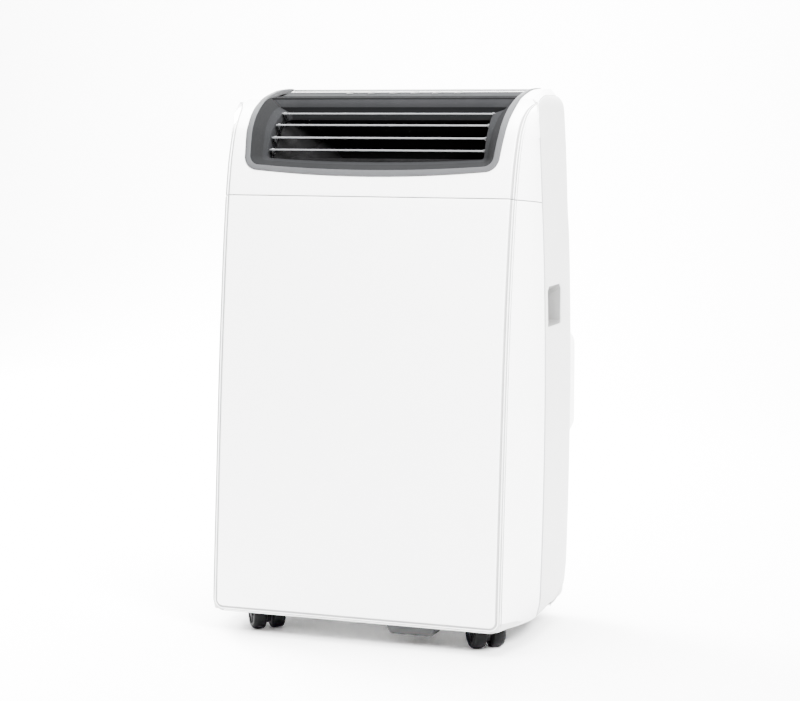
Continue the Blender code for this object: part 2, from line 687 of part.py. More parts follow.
def console_point(share, above=0.0, x=0.0):
    """A point over the console's sloping face, a share of the way from its front edge."""
    y = CONSOLE_FRONT[0] + (CONSOLE_BACK[0] - CONSOLE_FRONT[0]) * share
    z = CONSOLE_FRONT[1] + (CONSOLE_BACK[1] - CONSOLE_FRONT[1]) * share
    return Vector((x, y, z)) + console_normal() * above


def make_controls():
    under = [console_point(s, -CONSOLE_THICKNESS) for s in (1.0, 0.0)]
    top = [console_point(s) for s in (0.0, 1.0)]
    outline = [(p.y, p.z) for p in top + under]
    panel = plate("control_panel", outline, "x", -CONSOLE_HALF, CONSOLE_HALF, LIGHT_GREY)
    y0 = CONSOLE_BACK[0] + 0.0010
    window = [(y0, 0.6940), (y0, 0.6972), (y0 + 0.003, 0.6998), (0.0705, 0.6998), (0.0705, 0.6940)]
    plate("display_window", window, "x", -CONSOLE_HALF, CONSOLE_HALF, DARK)
    first = -BUTTON_PITCH * (len(BUTTON_NAMES) - 1) / 2
    for i, name in enumerate(BUTTON_NAMES):
        x = first + BUTTON_PITCH * i
        floor = console_point(0.5, 0.0010 - CONSOLE_THICKNESS, x)
        pocket = cylinder(f"pocket_{name}", floor, console_point(0.5, 0.004, x), BUTTON_R + GAP,
                          segments=20)
        boolean(panel, "DIFFERENCE", pocket)
        start = floor + console_normal() * (BUTTON_TRAVEL + 0.0003)
        button = cylinder(f"{name}_button", start, console_point(0.5, 0.0013, x), BUTTON_R, LIGHT_GREY, 20)
        set_origin(button, console_point(0.5, 0.0, x))


def arm_pin(pivot):
    y, z = pivot
    return (y + LOUVRE_ARM * math.cos(LOUVRE_ARM_ANGLE), z + LOUVRE_ARM * math.sin(LOUVRE_ARM_ANGLE))


def make_louvres():
    for i, (y, z) in enumerate(LOUVRE_PIVOTS):
        half, thick = LOUVRE_CHORD / 2, LOUVRE_THICKNESS / 2
        section = [(y - half, z - 0.4 * thick), (y - half, z + 0.4 * thick), (y - 0.6 * half, z + thick),
                   (y + 0.6 * half, z + thick), (y + half, z + 0.4 * thick), (y + half, z - 0.4 * thick),
                   (y + 0.6 * half, z - thick), (y - 0.6 * half, z - thick)]
        blade = plate(f"louvre_{i + 1}", section, "x", -LOUVRE_HALF, LOUVRE_HALF + 0.003, LIGHT_GREY)
        reach = 0.1585 if i == len(LOUVRE_PIVOTS) - 1 else 0.1492
        pin = cylinder(f"louvre_pin_{i + 1}", (-0.1492, y, z), (reach, y, z), PIVOT_R, segments=10)
        py, pz = arm_pin((y, z))
        along = Vector((py - y, pz - z)).normalized() * 0.0018
        across = Vector((-along.y, along.x))
        ends = [(y, z, -1, -1), (y, z, -1, 1), (py, pz, 1, 1), (py, pz, 1, -1)]
        arm_outline = [(a + along.x * s + across.x * t, b + along.y * s + across.y * t)
                       for a, b, s, t in ends]
        arm = plate(f"louvre_arm_{i + 1}", arm_outline, "x", LINK_INNER_X + 0.0004, LINK_INNER_X + 0.0022)
        link_pin = cylinder(f"louvre_link_pin_{i + 1}", (LINK_INNER_X - LINK_THICKNESS, py, pz),
                            (LINK_INNER_X + 0.001, py, pz), 0.0009, segments=10)
        boolean(blade, "UNION", pin, arm, link_pin)
        set_origin(blade, (0, y, z))


def make_louvre_link():
    pins = [Vector(arm_pin(pivot)) for pivot in LOUVRE_PIVOTS]
    ends = [pins[0] + (pins[0] - pins[1]).normalized() * 0.002, *pins[1:-1],
            pins[-1] + (pins[-1] - pins[-2]).normalized() * 0.002]
    left, right = [], []
    for i, point in enumerate(ends):
        run = (ends[min(i + 1, 3)] - ends[max(i - 1, 0)]).normalized() * 0.0019
        left.append((point.x - run.y, point.y + run.x))
        right.append((point.x + run.y, point.y - run.x))
    link = plate("louvre_link", left + right[::-1], "x", LINK_INNER_X - LINK_THICKNESS, LINK_INNER_X, BLACK)
    for i, (y, z) in enumerate(pins):
        boolean(link, "DIFFERENCE", cylinder(f"link_hole_{i + 1}", (-0.150, y, z), (-0.140, y, z),
                                             0.0009 + GAP, segments=10))
    set_origin(link, (0, *pins[0]))


def make_louvre_motor():
    y, z = LOUVRE_PIVOTS[-1]
    cylinder("louvre_motor", (0.1595, y, z), (0.1700, y, z), 0.0070, STEEL, 20)


def make_air_duct():
    """Open hood that turns the blower's air from its mouth forwards to the outlet."""
    rings = [
        ((-0.097, 0.150), (-0.0080, 0.6050), (0.0680, 0.6050)),
        ((-0.097, 0.150), (-0.0080, 0.6080), (0.0680, 0.6080)),
        ((-0.115, 0.150), (-0.0180, 0.6100), (0.0600, 0.6360)),
        ((-0.135, 0.150), (-0.0360, 0.6060), (0.0330, 0.6590)),
        ((-0.1495, 0.1495), (-0.0560, 0.6010), (-0.0020, 0.6600)),
    ]
    bm = bmesh.new()
    rows = []
    for (x0, x1), (y0, z0), (y1, z1) in rings:
        corners = [(x0, y0, z0), (x1, y0, z0), (x1, y1, z1), (x0, y1, z1)]
        rows.append([bm.verts.new(point) for point in corners])
    for lower, upper in zip(rows, rows[1:]):
        for i in range(4):
            j = (i + 1) % 4
            bm.faces.new((lower[i], lower[j], upper[j], upper[i]))
    duct = add_object("air_duct", finished("air_duct", bm), DUCT)
    thick = duct.modifiers.new("wall", "SOLIDIFY")
    thick.thickness = 0.002
    thick.offset = 1.0


# ---------------------------------------------------------------- blowers
def volute(centre, start, end, r_start, r_end, steps):
    """Spiral outline from one angle to another, in degrees, with a changing radius."""
    points = []
    for i in range(steps + 1):
        share = i / steps
        angle = math.radians(start + (end - start) * share)
        radius = r_start + (r_end - r_start) * share
        points.append((centre[0] + radius * math.cos(angle), centre[1] + radius * math.sin(angle)))
    return points


def scroll_housing(name, outline, low_y, high_y, centre, inlet_r, mouth):
    """Spiral case: side walls, open mouth, an inlet at the back and a shaft hole in front."""
    body = plate(name, outline, "y", low_y - 0.002, high_y + 0.002, LIGHT_GREY)
    room = plate(f"{name}_room", inset_outline(outline, 0.002), "y", low_y, high_y)
    x, z = centre
    inlet = cylinder(f"{name}_inlet", (x, high_y - 0.001, z), (x, high_y + 0.01, z), inlet_r, segments=28)
    shaft = cylinder(f"{name}_shaft", (x, low_y - 0.01, z), (x, low_y + 0.001, z), 0.009, segments=16)
    boolean(body, "DIFFERENCE", room, inlet, shaft, mouth)


def make_upper_scroll():
    spiral = volute(UPPER_AXIS, 180, 360, 0.102, 0.128, 12)
    outline = [(0.152, 0.604), *reversed(spiral), (-0.099, 0.604)]
    mouth = box("upper_mouth", (-0.097, -0.008, 0.590), (0.150, 0.068, 0.620))
    scroll_housing("evaporator_scroll", outline, -0.008, 0.068, UPPER_AXIS, 0.070, mouth)


def make_lower_scroll():
    spiral = volute(LOWER_AXIS, 90, 340, 0.117, 0.090, 16)
    outline = [(0.050, 0.226), *reversed(spiral), (0.050, 0.327)]
    mouth = box("lower_mouth", (0.040, 0.012, 0.230), (0.060, 0.078, 0.325))
    scroll_housing("condenser_scroll", outline, 0.012, 0.078, LOWER_AXIS, 0.066, mouth)


def blower_wheel(name, centre, radius, low_y, high_y, shaft_y, blades=14):
    """Drum wheel: back plate, a ring of blades, a front ring and its shaft."""
    x, z = centre
    wheel = cylinder(name, (x, low_y, z), (x, low_y + 0.0025, z), radius, BLACK, 28)
    ring = cylinder(f"{name}_ring", (x, high_y - 0.004, z), (x, high_y, z), radius, segments=28)
    eye = cylinder(f"{name}_eye", (x, high_y - 0.010, z), (x, high_y + 0.010, z), radius - 0.009,
                   segments=28)
    boolean(ring, "DIFFERENCE", eye)
    bm = bmesh.new()
    for i in range(blades):
        made = bmesh.ops.create_cube(bm, size=1.0)["verts"]
        bmesh.ops.scale(bm, vec=(0.0075, high_y - low_y - 0.003, 0.0012), verts=made)
        bmesh.ops.rotate(bm, matrix=Matrix.Rotation(math.radians(35), 3, "Y"), verts=made)
        bmesh.ops.translate(bm, vec=(radius - 0.0048, 0, 0), verts=made)
        bmesh.ops.rotate(bm, matrix=Matrix.Rotation(2 * math.pi * i / blades, 3, "Y"), verts=made)
    bmesh.ops.translate(bm, vec=(x, (low_y + high_y) / 2, z), verts=bm.verts)
    fan = add_object(f"{name}_blades", finished(f"{name}_blades", bm))
    shaft = cylinder(f"{name}_shaft", (x, shaft_y, z), (x, low_y + 0.016, z), 0.004, segments=12)
    hub = cylinder(f"{name}_hub", (x, low_y + 0.001, z), (x, low_y + 0.014, z), 0.016, segments=20)
    boolean(wheel, "UNION", fan, ring, hub, shaft)
    set_origin(wheel, (x, low_y, z))


def blower_motor(name, centre, low_y, high_y, radius):
    x, z = centre
    motor = cylinder(name, (x, low_y, z), (x, high_y, z), radius, STEEL, 28)
    bevel(motor, 0.005, 1)
    bore = cylinder(f"{name}_bore", (x, low_y + 0.008, z), (x, high_y + 0.01, z), 0.0043, segments=12)
    boolean(motor, "DIFFERENCE", bore)


def make_exhaust_duct():
    x0, x1, z0, z1 = 0.0505, 0.178, 0.238, 0.378
    duct = box("exhaust_duct", (x0, 0.010, z0), (x1, 0.1040, z1), DUCT)
    room = box("exhaust_duct_room", (x0 + 0.002, 0.012, z0 + 0.002), (x1 - 0.002, 0.1020, z1 - 0.002))
    mouth = box("exhaust_duct_mouth", (x0 - 0.01, 0.012, z0 + 0.002), (x0 + 0.01, 0.078, 0.325))
    x, z = EXHAUST_CENTRE
    port = cylinder("exhaust_duct_port", (x, 0.09, z), (x, 0.12, z), PORT_R - 0.003, segments=32)
    boolean(duct, "DIFFERENCE", room, mouth, port)


# ---------------------------------------------------------------- back of the housing
def slatted_frame(name, low, high, y_range, slats, look):
    """A frame filled with level slats, set into the back wall."""
    x0, z0 = low
    x1, z1 = high
    y0, y1 = y_range
    border = 0.008
    frame = box(name, (x0, y0, z0), (x1, y1, z1), look)
    pitch = (z1 - z0 - 2 * border) / (slats + 1)
    bm = bmesh.new()
    for i in range(slats + 1):
        centre = z0 + border + pitch * (i + 0.5)
        made = bmesh.ops.create_cube(bm, size=1.0)["verts"]
        bmesh.ops.scale(bm, vec=(x1 - x0 - 2 * border, 2 * (y1 - y0), pitch - 0.003), verts=made)
        bmesh.ops.translate(bm, vec=((x0 + x1) / 2, (y0 + y1) / 2, centre), verts=made)
    boolean(frame, "DIFFERENCE", add_object(f"{name}_slots", finished(f"{name}_slots", bm)))
    return frame


def make_filter():
    x, (z0, z1) = INTAKE_HALF - GAP, INTAKE_Z
    frame = slatted_frame("filter_frame", (-x, z0 + GAP), (x, z1 - GAP), (0.1135, 0.1215), 11, WHITE)
    set_origin(frame, (0, 0.1175, (z0 + z1) / 2))
    mesh = box("filter_mesh", (-x + 0.002, 0.1120, z0 + 0.002), (x - 0.002, 0.1132, z1 - 0.002),
               MESH_CLOTH)
    set_origin(mesh, (0, 0.1126, (z0 + z1) / 2))


def make_lower_grille():
    (x0, x1), (z0, z1) = LOWER_INTAKE_X, LOWER_INTAKE_Z
    slatted_frame("lower_grille", (x0 + GAP, z0 + GAP), (x1 - GAP, z1 - GAP), (0.1155, 0.1215), 13, WHITE)


def make_exhaust_housing():
    (cx, cz), (hx, hz) = EXHAUST_CENTRE, EXHAUST_HALF
    outline = rounded_rectangle((cx - hx, cz - hz), (cx + hx, cz + hz), 0.025, 4)
    body = plate("exhaust_housing", outline, "y", 0.080, EXHAUST_FACE_Y, WHITE)
    bevel(body, 0.004)
    clear = housing_form("exhaust_clearance", -GAP)
    port = cylinder("exhaust_port", (cx, 0.07, cz), (cx, 0.16, cz), PORT_R + GAP, segments=36)
    boolean(body, "DIFFERENCE", clear, port)
    collar = cylinder("exhaust_collar", (cx, 0.1045, cz), (cx, EXHAUST_FACE_Y - 0.001, cz), PORT_R, GREY, 36)
    bore = cylinder("collar_bore", (cx, 0.09, cz), (cx, 0.16, cz), PORT_R - 0.0025, segments=36)
    boolean(collar, "DIFFERENCE", bore)


def make_drain_plug(name, centre):
    """Rubber stopper: flat head, ribbed stem and a pull tab's worth of grip."""
    x, z = centre
    profile = [(0.0, 0.016), (0.009, 0.016), (0.011, 0.014), (0.011, 0.0085), (0.0070, 0.0085),
               (0.0070, -0.010), (0.0055, -0.012), (0.0, -0.012)]
    plug = turned(name, profile, BLACK, 20)
    plug.location = (x, 0.1125, z)
    plug.rotation_euler = (math.radians(-90), 0, 0)


def make_cord_gland():
    x, z = CORD_GLAND
    profile = [(0.0035, 0.012), (0.0085, 0.012), (0.0100, 0.0085), (0.0100, 0.0035), (0.0078, 0.0035),
               (0.0078, -0.006), (0.0035, -0.006), (0.0035, 0.012)]
    gland = turned("cord_gland", profile, BLACK, 20)
    gland.location = (x, 0.1178, z)
    gland.rotation_euler = (math.radians(-90), 0, 0)


# ---------------------------------------------------------------- refrigeration circuit and electrics
def make_coils():
    sizes = {
        "evaporator_coil": ((-0.160, 0.0755, 0.405), (0.160, 0.1050, 0.600)),
        "condenser_coil": ((-0.150, 0.0860, 0.070), (0.030, 0.1100, 0.345)),
    }
    for name, (low, high) in sizes.items():
        core = box(name, low, high, FINS)
        depth = (high[1] - low[1]) / 2
        for side, x in (("left", low[0]), ("right", high[0])):
            for i in range(4):
                z = low[2] + (high[2] - low[2]) * (i + 0.5) / 4
                ends = (x - 0.006, low[1] + depth, z), (x + 0.006, low[1] + depth, z)
                boolean(core, "UNION", cylinder(f"{name}_bend_{side}_{i}", *ends, 0.005, segments=10))


def make_compressor():
    profile = [(0.0, 0.160), (0.020, 0.158), (0.040, 0.148), (0.050, 0.132), (0.052, 0.120), (0.052, 0.030),
               (0.048, 0.014), (0.034, 0.004), (0.0, 0.0)]
    body = turned("compressor", profile, PAINTED, 28)
    body.location = (0.125, -0.020, 0.0590)


def make_accumulator():
    profile = [(0.0, 0.120), (0.010, 0.118), (0.020, 0.106), (0.020, 0.014), (0.010, 0.002), (0.0, 0.0)]
    body = turned("accumulator", profile, PAINTED, 20)
    body.location = (0.0500, -0.058, 0.085)


def make_pipes():
    routes = {
        "discharge_pipe": [(0.125, -0.020, 0.2194), (0.125, -0.020, 0.2280), (0.120, -0.030, 0.2320),
                           (0.090, -0.030, 0.2320), (0.035, -0.020, 0.2340), (0.020, -0.020, 0.236),
                           (0.0080, -0.020, 0.2400), (0.005, -0.018, 0.2550), (0.005, -0.005, 0.340),
                           (0.008, 0.005, 0.348), (0.020, 0.020, 0.3520), (0.035, 0.070, 0.3520)],
        "suction_pipe": [(0.050, -0.058, 0.2054), (0.050, -0.058, 0.250), (0.050, -0.060, 0.340),
                         (0.055, -0.060, 0.360), (0.070, -0.060, 0.370), (0.185, -0.055, 0.372),
                         (0.190, -0.045, 0.372), (0.190, 0.060, 0.372)],
        "liquid_pipe": [(0.042, 0.098, 0.140), (0.050, 0.098, 0.140), (0.058, 0.090, 0.144),
                        (0.060, 0.050, 0.180), (0.060, 0.006, 0.200), (0.052, -0.002, 0.215),
                        (0.034, -0.002, 0.236), (0.030, -0.002, 0.300), (0.030, -0.002, 0.360)],
    }
    radii = {"discharge_pipe": 0.004, "suction_pipe": 0.005, "liquid_pipe": 0.003}
    for name, route in routes.items():
        tube(name, smooth_curve(route, 2), radii[name], COPPER)


def make_partition():
    """Deck between the hot lower half and the cold upper half, with the drip tray on it."""
    deck = [(x, y) for x, y, _ in plan_ring(0.387, WALL + 0.0008) if y > -0.170]
    deck = [(x, max(y, -0.108)) for x, y in deck]
    slab = plate("partition_deck", deck, "z", 0.3800, 0.3970, LIGHT_GREY)
    drip_tray = box("drip_tray", (-0.170, 0.070, 0.384), (0.170, 0.108, 0.410))
    front = box("deck_front", (-0.180, -0.095, 0.383), (0.180, -0.010, 0.410))
    middle = box("deck_scroll_room", (-0.165, -0.012, 0.383), (0.165, 0.0715, 0.410))
    boolean(slab, "DIFFERENCE", drip_tray, front, middle)


def make_electrics():
    low, high = (-0.178, -0.100, 0.270), (-0.040, -0.030, 0.345)
    case = box("control_box", low, high, STEEL)
    inner = box("control_box_room", (low[0] + 0.0015, low[1] - 0.01, low[2] + 0.0015),
                (high[0] - 0.0015, high[1] - 0.0015, high[2] - 0.0015))
    boolean(case, "DIFFERENCE", inner)
    box("circuit_board", (low[0] + 0.006, -0.040, low[2] + 0.006),
        (high[0] - 0.006, -0.0384, high[2] - 0.006), material("circuit_board", (0.03, 0.20, 0.08), 0.45))
    cylinder("capacitor", (0.010, -0.075, 0.2600), (0.010, -0.075, 0.3300), 0.018, STEEL, 24)


# ---------------------------------------------------------------- casters
def make_caster(name, pivot):
    """A twin-wheel caster: the hood turns on its stem, the wheels on their axle."""
    x, y = pivot
    turn = Matrix.Rotation(CASTER_TURN + math.pi / 2, 4, "Z")
    place = Matrix.Translation((x, y, 0)) @ turn
    trail = CASTER_TRAIL
    hood = turned(f"caster_hood_{name}", [
        (0.0, 0.0540), (0.0040, 0.0540), (0.0040, 0.0462), (0.0150, 0.0462), (0.0150, 0.0415),
        (0.0, 0.0415)], BLACK, 16)
    web_outline = [(0.008, 0.0440), (0.009, 0.034), (0.004, 0.024),
                   *arc((-trail, CASTER_R), 0.0125, 0, -180, 6),
                   (-trail - 0.0125, 0.030), (-trail - 0.004, 0.0400), (-0.010, 0.0440)]
    web = plate(f"caster_web_{name}", web_outline, "x", -0.0024, 0.0024)
    bore = cylinder(f"caster_bore_{name}", (-0.01, -trail, CASTER_R), (0.01, -trail, CASTER_R), 0.0035,
                    segments=16)
    for tool in (web, bore):
        tool.data.transform(place)
    hood.matrix_world = place
    boolean(hood, "UNION", web)
    boolean(hood, "DIFFERENCE", bore)

    half = CASTER_HALF_WIDTH
    side = [(0.0130, half - 0.0006), (0.0180, half - 0.0030), (CASTER_R, half - 0.0075),
            (CASTER_R, 0.0050), (0.0185, 0.0034), (0.0031, 0.0034)]
    profile = [(0.0, half), *side, *[(r, -w) for r, w in reversed(side)], (0.0, -half)]
    wheels = turned(f"caster_wheels_{name}", profile, BLACK, 18)
    axle = place @ Matrix.Translation((0, -trail, CASTER_R)) @ Matrix.Rotation(math.radians(90), 4, "Y")
    wheels.matrix_world = axle


# ---------------------------------------------------------------- assembly
make_base_pan()
make_drain_sump()
make_front_panel()
make_upper_front_cover()
make_top_cover()
make_rear_shell()
make_handle_cups()
make_outlet_bezel()
make_controls()
make_louvres()
make_louvre_link()
make_louvre_motor()
make_air_duct()
make_upper_scroll()
blower_wheel("evaporator_blower", UPPER_AXIS, UPPER_WHEEL_R, -0.003, 0.062, -0.050)
blower_motor("evaporator_motor", UPPER_AXIS, -0.062, -0.0105, 0.038)
make_lower_scroll()
blower_wheel("condenser_blower", LOWER_AXIS, LOWER_WHEEL_R, 0.017, 0.072, -0.030)
blower_motor("condenser_motor", LOWER_AXIS, -0.044, 0.0095, 0.038)
make_exhaust_duct()
make_filter()
make_lower_grille()
make_exhaust_housing()
make_drain_plug("upper_drain_plug", UPPER_DRAIN)
make_drain_plug("lower_drain_plug", LOWER_DRAIN)
make_cord_gland()
make_coils()
make_compressor()
make_accumulator()
make_pipes()
make_partition()
make_electrics()
for caster, spot in CASTER_PIVOTS.items():
    make_caster(caster, spot)
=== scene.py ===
"""Looks for the portable air conditioner: detailed covers, outlet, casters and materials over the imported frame."""
import math

import bmesh
import bpy
from mathutils import Matrix, Vector


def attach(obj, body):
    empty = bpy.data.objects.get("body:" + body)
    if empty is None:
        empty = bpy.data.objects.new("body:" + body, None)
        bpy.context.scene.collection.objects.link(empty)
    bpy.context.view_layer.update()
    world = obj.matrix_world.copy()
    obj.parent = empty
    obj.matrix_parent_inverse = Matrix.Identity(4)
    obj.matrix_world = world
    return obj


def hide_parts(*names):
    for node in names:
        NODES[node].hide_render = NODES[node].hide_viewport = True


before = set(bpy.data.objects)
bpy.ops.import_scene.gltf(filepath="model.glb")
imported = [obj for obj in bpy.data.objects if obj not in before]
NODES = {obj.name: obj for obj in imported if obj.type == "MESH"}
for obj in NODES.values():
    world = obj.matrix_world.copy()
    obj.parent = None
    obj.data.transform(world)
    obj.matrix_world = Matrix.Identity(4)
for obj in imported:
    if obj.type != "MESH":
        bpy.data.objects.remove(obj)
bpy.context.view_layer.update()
SCENE = bpy.context.scene
MM = 0.001
WALL = 2.4


# ---- materials
def add_node(tree, kind, **values):
    node = tree.nodes.new(kind)
    for key, value in values.items():
        if key in node.inputs:
            node.inputs[key].default_value = value
        else:
            setattr(node, key, value)
    return node


ROUGH_DRIFT = 0.06


def surface(name, light, dark, rough, metallic=0.0, coat=0.0, grain=1400.0, bump=0.05, mottle=14.0, specular=0.5):
    """Moulded or drawn surface: colour drift, roughness drift and a fine relief."""
    mat = bpy.data.materials.new(name)
    mat.use_nodes = True
    tree = mat.node_tree
    shader = tree.nodes["Principled BSDF"]
    link = tree.links.new
    coords = add_node(tree, "ShaderNodeTexCoord")
    drift = add_node(tree, "ShaderNodeTexNoise", Scale=mottle, Detail=4.0, Roughness=0.55)
    link(coords.outputs["Object"], drift.inputs["Vector"])
    ramp = add_node(tree, "ShaderNodeValToRGB")
    for stop, position, colour in zip(ramp.color_ramp.elements, (0.35, 0.65), (dark, light)):
        stop.position = position
        stop.color = (*colour, 1)
    link(drift.outputs["Fac"], ramp.inputs["Fac"])
    link(ramp.outputs["Color"], shader.inputs["Base Color"])
    fine = add_node(tree, "ShaderNodeTexNoise", Scale=grain, Detail=3.0, Roughness=0.6)
    link(coords.outputs["Object"], fine.inputs["Vector"])
    limits = {"To Min": rough - ROUGH_DRIFT, "To Max": rough + ROUGH_DRIFT}
    rough_range = add_node(tree, "ShaderNodeMapRange", **limits)
    link(fine.outputs["Fac"], rough_range.inputs["Value"])
    link(rough_range.outputs["Result"], shader.inputs["Roughness"])
    relief = add_node(tree, "ShaderNodeBump", Strength=bump, Distance=0.0004)
    link(fine.outputs["Fac"], relief.inputs["Height"])
    link(relief.outputs["Normal"], shader.inputs["Normal"])
    for key, value in {"Metallic": metallic, "Coat Weight": coat, "Coat Roughness": 0.12,
                       "Specular IOR Level": specular}.items():
        shader.inputs[key].default_value = value
    return mat


def fins_material(name, base, axis, pitch):
    """Thin fins: a fast wave along one axis drives colour and relief."""
    mat = surface(name, base, tuple(c * 0.8 for c in base), 0.42, metallic=0.85, grain=300)
    tree = mat.node_tree
    shader = tree.nodes["Principled BSDF"]
    coords = add_node(tree, "ShaderNodeTexCoord")
    wave = add_node(tree, "ShaderNodeTexWave", Scale=1.0 / pitch / 6.2832 * 3.1416)
    wave.bands_direction = axis
    tree.links.new(coords.outputs["Object"], wave.inputs["Vector"])
    relief = add_node(tree, "ShaderNodeBump", Strength=0.9, Distance=0.002)
    tree.links.new(wave.outputs["Fac"], relief.inputs["Height"])
    tree.links.new(relief.outputs["Normal"], shader.inputs["Normal"])
    return mat


WHITE = surface("cover_white", (0.86, 0.86, 0.855), (0.845, 0.845, 0.842), 0.34, coat=0.1)
FACE = surface("cover_face", (0.87, 0.87, 0.868), (0.858, 0.858, 0.857), 0.27, coat=0.2, bump=0.035)
# Painted shade: the white finger recesses are given a dark grey (0.16) for the shade inside them.
CUP_PAINTED_SHADE = surface("recess_white_painted_shade", (0.16, 0.16, 0.158), (0.14, 0.14, 0.138), 0.6, bump=0.08, specular=0.02)
# Painted shade: the rear shell, white like the covers, is given a grey (0.44) for the shade on its flanks; the base
# pan shares it.
SHELL_PAINTED_SHADE = surface("shell_white_painted_shade", (0.44, 0.44, 0.438), (0.42, 0.42, 0.418), 0.4, coat=0.05, specular=0.3)
# Painted shade: a grey put on the faces of grooves, channels and seams, standing in for the shade that falls in these
# creases.
PAINTED_CREASE_SHADE = surface("painted_crease_shade", (0.3, 0.3, 0.3), (0.27, 0.27, 0.27), 0.6, specular=0.05)
RIM = surface("rim_silver", (0.052, 0.053, 0.055), (0.048, 0.049, 0.051), 0.45, bump=0.04, specular=0.03)
RECESS = surface("recess_grey", (0.0105, 0.0107, 0.011), (0.009, 0.0092, 0.0095), 0.6, bump=0.08, specular=0.0)
INNER = surface("inner_frame_grey", (0.0125, 0.0128, 0.0134), (0.011, 0.0113, 0.0119), 0.6, bump=0.08,
                specular=0.0)
BAND = surface("slope_grey", (0.03, 0.0305, 0.032), (0.026, 0.0265, 0.028), 0.6, bump=0.08, specular=0.0)
BLADE = surface("louvre_grey", (0.092, 0.094, 0.097), (0.086, 0.088, 0.091), 0.45, specular=0.04)
CONSOLE = surface("console_grey", (0.024, 0.0245, 0.0255), (0.021, 0.0215, 0.0225), 0.5, specular=0.0)
WINDOW = surface("window_smoke", (0.02, 0.0205, 0.022), (0.018, 0.0185, 0.02), 0.16, coat=0.2, bump=0.01,
                 specular=0.3)
KEY = surface("key_grey", (0.034, 0.0345, 0.0355), (0.03, 0.0305, 0.0315), 0.45, bump=0.04, specular=0.03)
MARK = surface("mark_dark", (0.018, 0.019, 0.02), (0.014, 0.015, 0.016), 0.5, specular=0.2)
LAMP = surface("lamp_green", (0.02, 0.2, 0.05), (0.018, 0.17, 0.04), 0.25, coat=0.3)
# Painted shade: light grey plastic given a near-black (0.04) for the shade under the unit, where the sump shows; the
# hidden scrolls and deck share it.
LIGHT_GREY_PAINTED_SHADE = surface("light_grey_body_painted_shade", (0.04, 0.0405, 0.041), (0.036, 0.0365, 0.037), 0.5, bump=0.1, specular=0.05)
BLACK = surface("caster_black", (0.0055, 0.0055, 0.0057), (0.0045, 0.0045, 0.0047), 0.42, bump=0.12, specular=0.05)
TREAD = surface("tread_black", (0.0036, 0.0036, 0.0038), (0.0026, 0.0026, 0.0028), 0.5, bump=0.25, grain=900,
                specular=0.05)
FOAM = surface("duct_foam", (0.009, 0.009, 0.0092), (0.007, 0.007, 0.0072), 0.85, bump=0.6, grain=500,
               specular=0.02)
FAN = surface("fan_black", (0.016, 0.016, 0.0165), (0.012, 0.012, 0.0125), 0.55, bump=0.1, specular=0.05)
STEEL = surface("galvanised", (0.3, 0.31, 0.32), (0.22, 0.23, 0.24), 0.38, metallic=0.9, grain=120, mottle=60,
                bump=0.1)
PAINT = surface("black_paint", (0.008, 0.008, 0.009), (0.006, 0.006, 0.0065), 0.32, coat=0.1, grain=700,
                specular=0.2)
COPPER = surface("copper_tube", (0.6, 0.26, 0.13), (0.48, 0.2, 0.1), 0.3, metallic=1.0, grain=240,
                 mottle=35)
COILS = fins_material("coil_fins", (0.4, 0.41, 0.42), "X", 0.0022)
CLOTH = surface("filter_mesh_cloth", (0.022, 0.024, 0.026), (0.016, 0.018, 0.02), 0.75, bump=0.8, grain=1100,
                specular=0.1)
RUBBER = surface("soft_rubber", (0.005, 0.005, 0.0052), (0.0036, 0.0036, 0.0038), 0.62, bump=0.2, grain=900,
                 specular=0.1)
BOARD = surface("board_green", (0.005, 0.05, 0.015), (0.004, 0.035, 0.01), 0.4, coat=0.1, mottle=90)
SCREW = surface("screw_zinc", (0.3, 0.3, 0.29), (0.24, 0.24, 0.23), 0.28, metallic=1.0, grain=400)

CARRIED = (  # what the frame's own pieces are made of, where no detailed piece stands in for them
    # base_pan takes the rear shell's painted shade, the scroll and deck the light grey's painted shade, the handle
    # cups the recess's painted shade.
    (SHELL_PAINTED_SHADE, "base_pan"), (FAN, "evaporator_scroll evaporator_blower condenser_blower"), (BLACK, "louvre_link"),
    (LIGHT_GREY_PAINTED_SHADE, "condenser_scroll partition_deck"), (FOAM, "air_duct exhaust_duct"), (PAINT, "compressor accumulator"),
    (STEEL, "louvre_motor evaporator_motor condenser_motor control_box capacitor"), (CLOTH, "filter_mesh"),
    (COPPER, "suction_pipe discharge_pipe liquid_pipe"), (COILS, "evaporator_coil condenser_coil"),
    (BOARD, "circuit_board"), (CUP_PAINTED_SHADE, "handle_cup_left handle_cup_right"),
)


# ---- mesh helpers
def finish_mesh(name, bm, mat, smooth=38):
    bmesh.ops.remove_doubles(bm, verts=bm.verts, dist=1e-6)
    bmesh.ops.recalc_face_normals(bm, faces=bm.faces)
    mesh = bpy.data.meshes.new(name)
    bm.to_mesh(mesh)
    bm.free()
    mesh.materials.append(mat)
    mesh.shade_smooth()
    mesh.set_sharp_from_angle(angle=math.radians(smooth))
    made = bpy.data.objects.new(name, mesh)
    SCENE.collection.objects.link(made)
    return made


def mm(x, y, z):
    """A point given in millimetres."""
    return Vector((x * MM, y * MM, z * MM))


def mirrored(rows):
    """Rows of finished points on the other side, in the opposite order and without the middle row."""
    return [[Vector((-p.x, p.y, p.z)) for p in row] for row in reversed(rows[1:])]


def strip(bm, rows, closed=False, columns=(), first_rows=0):
    """Quads between rows that hold the same number of points; listed columns and first rows take slot 1."""
    verts = [[bm.verts.new(p) for p in row] for row in rows]
    count = len(verts[0])
    for number, (lower, upper) in enumerate(zip(verts, verts[1:])):
        for i in range(count if closed else count - 1):
            j = (i + 1) % count
            face = bm.faces.new((lower[i], lower[j], upper[j], upper[i]))
            face.material_index = 1 if i in columns or number < first_rows else 0
    return verts


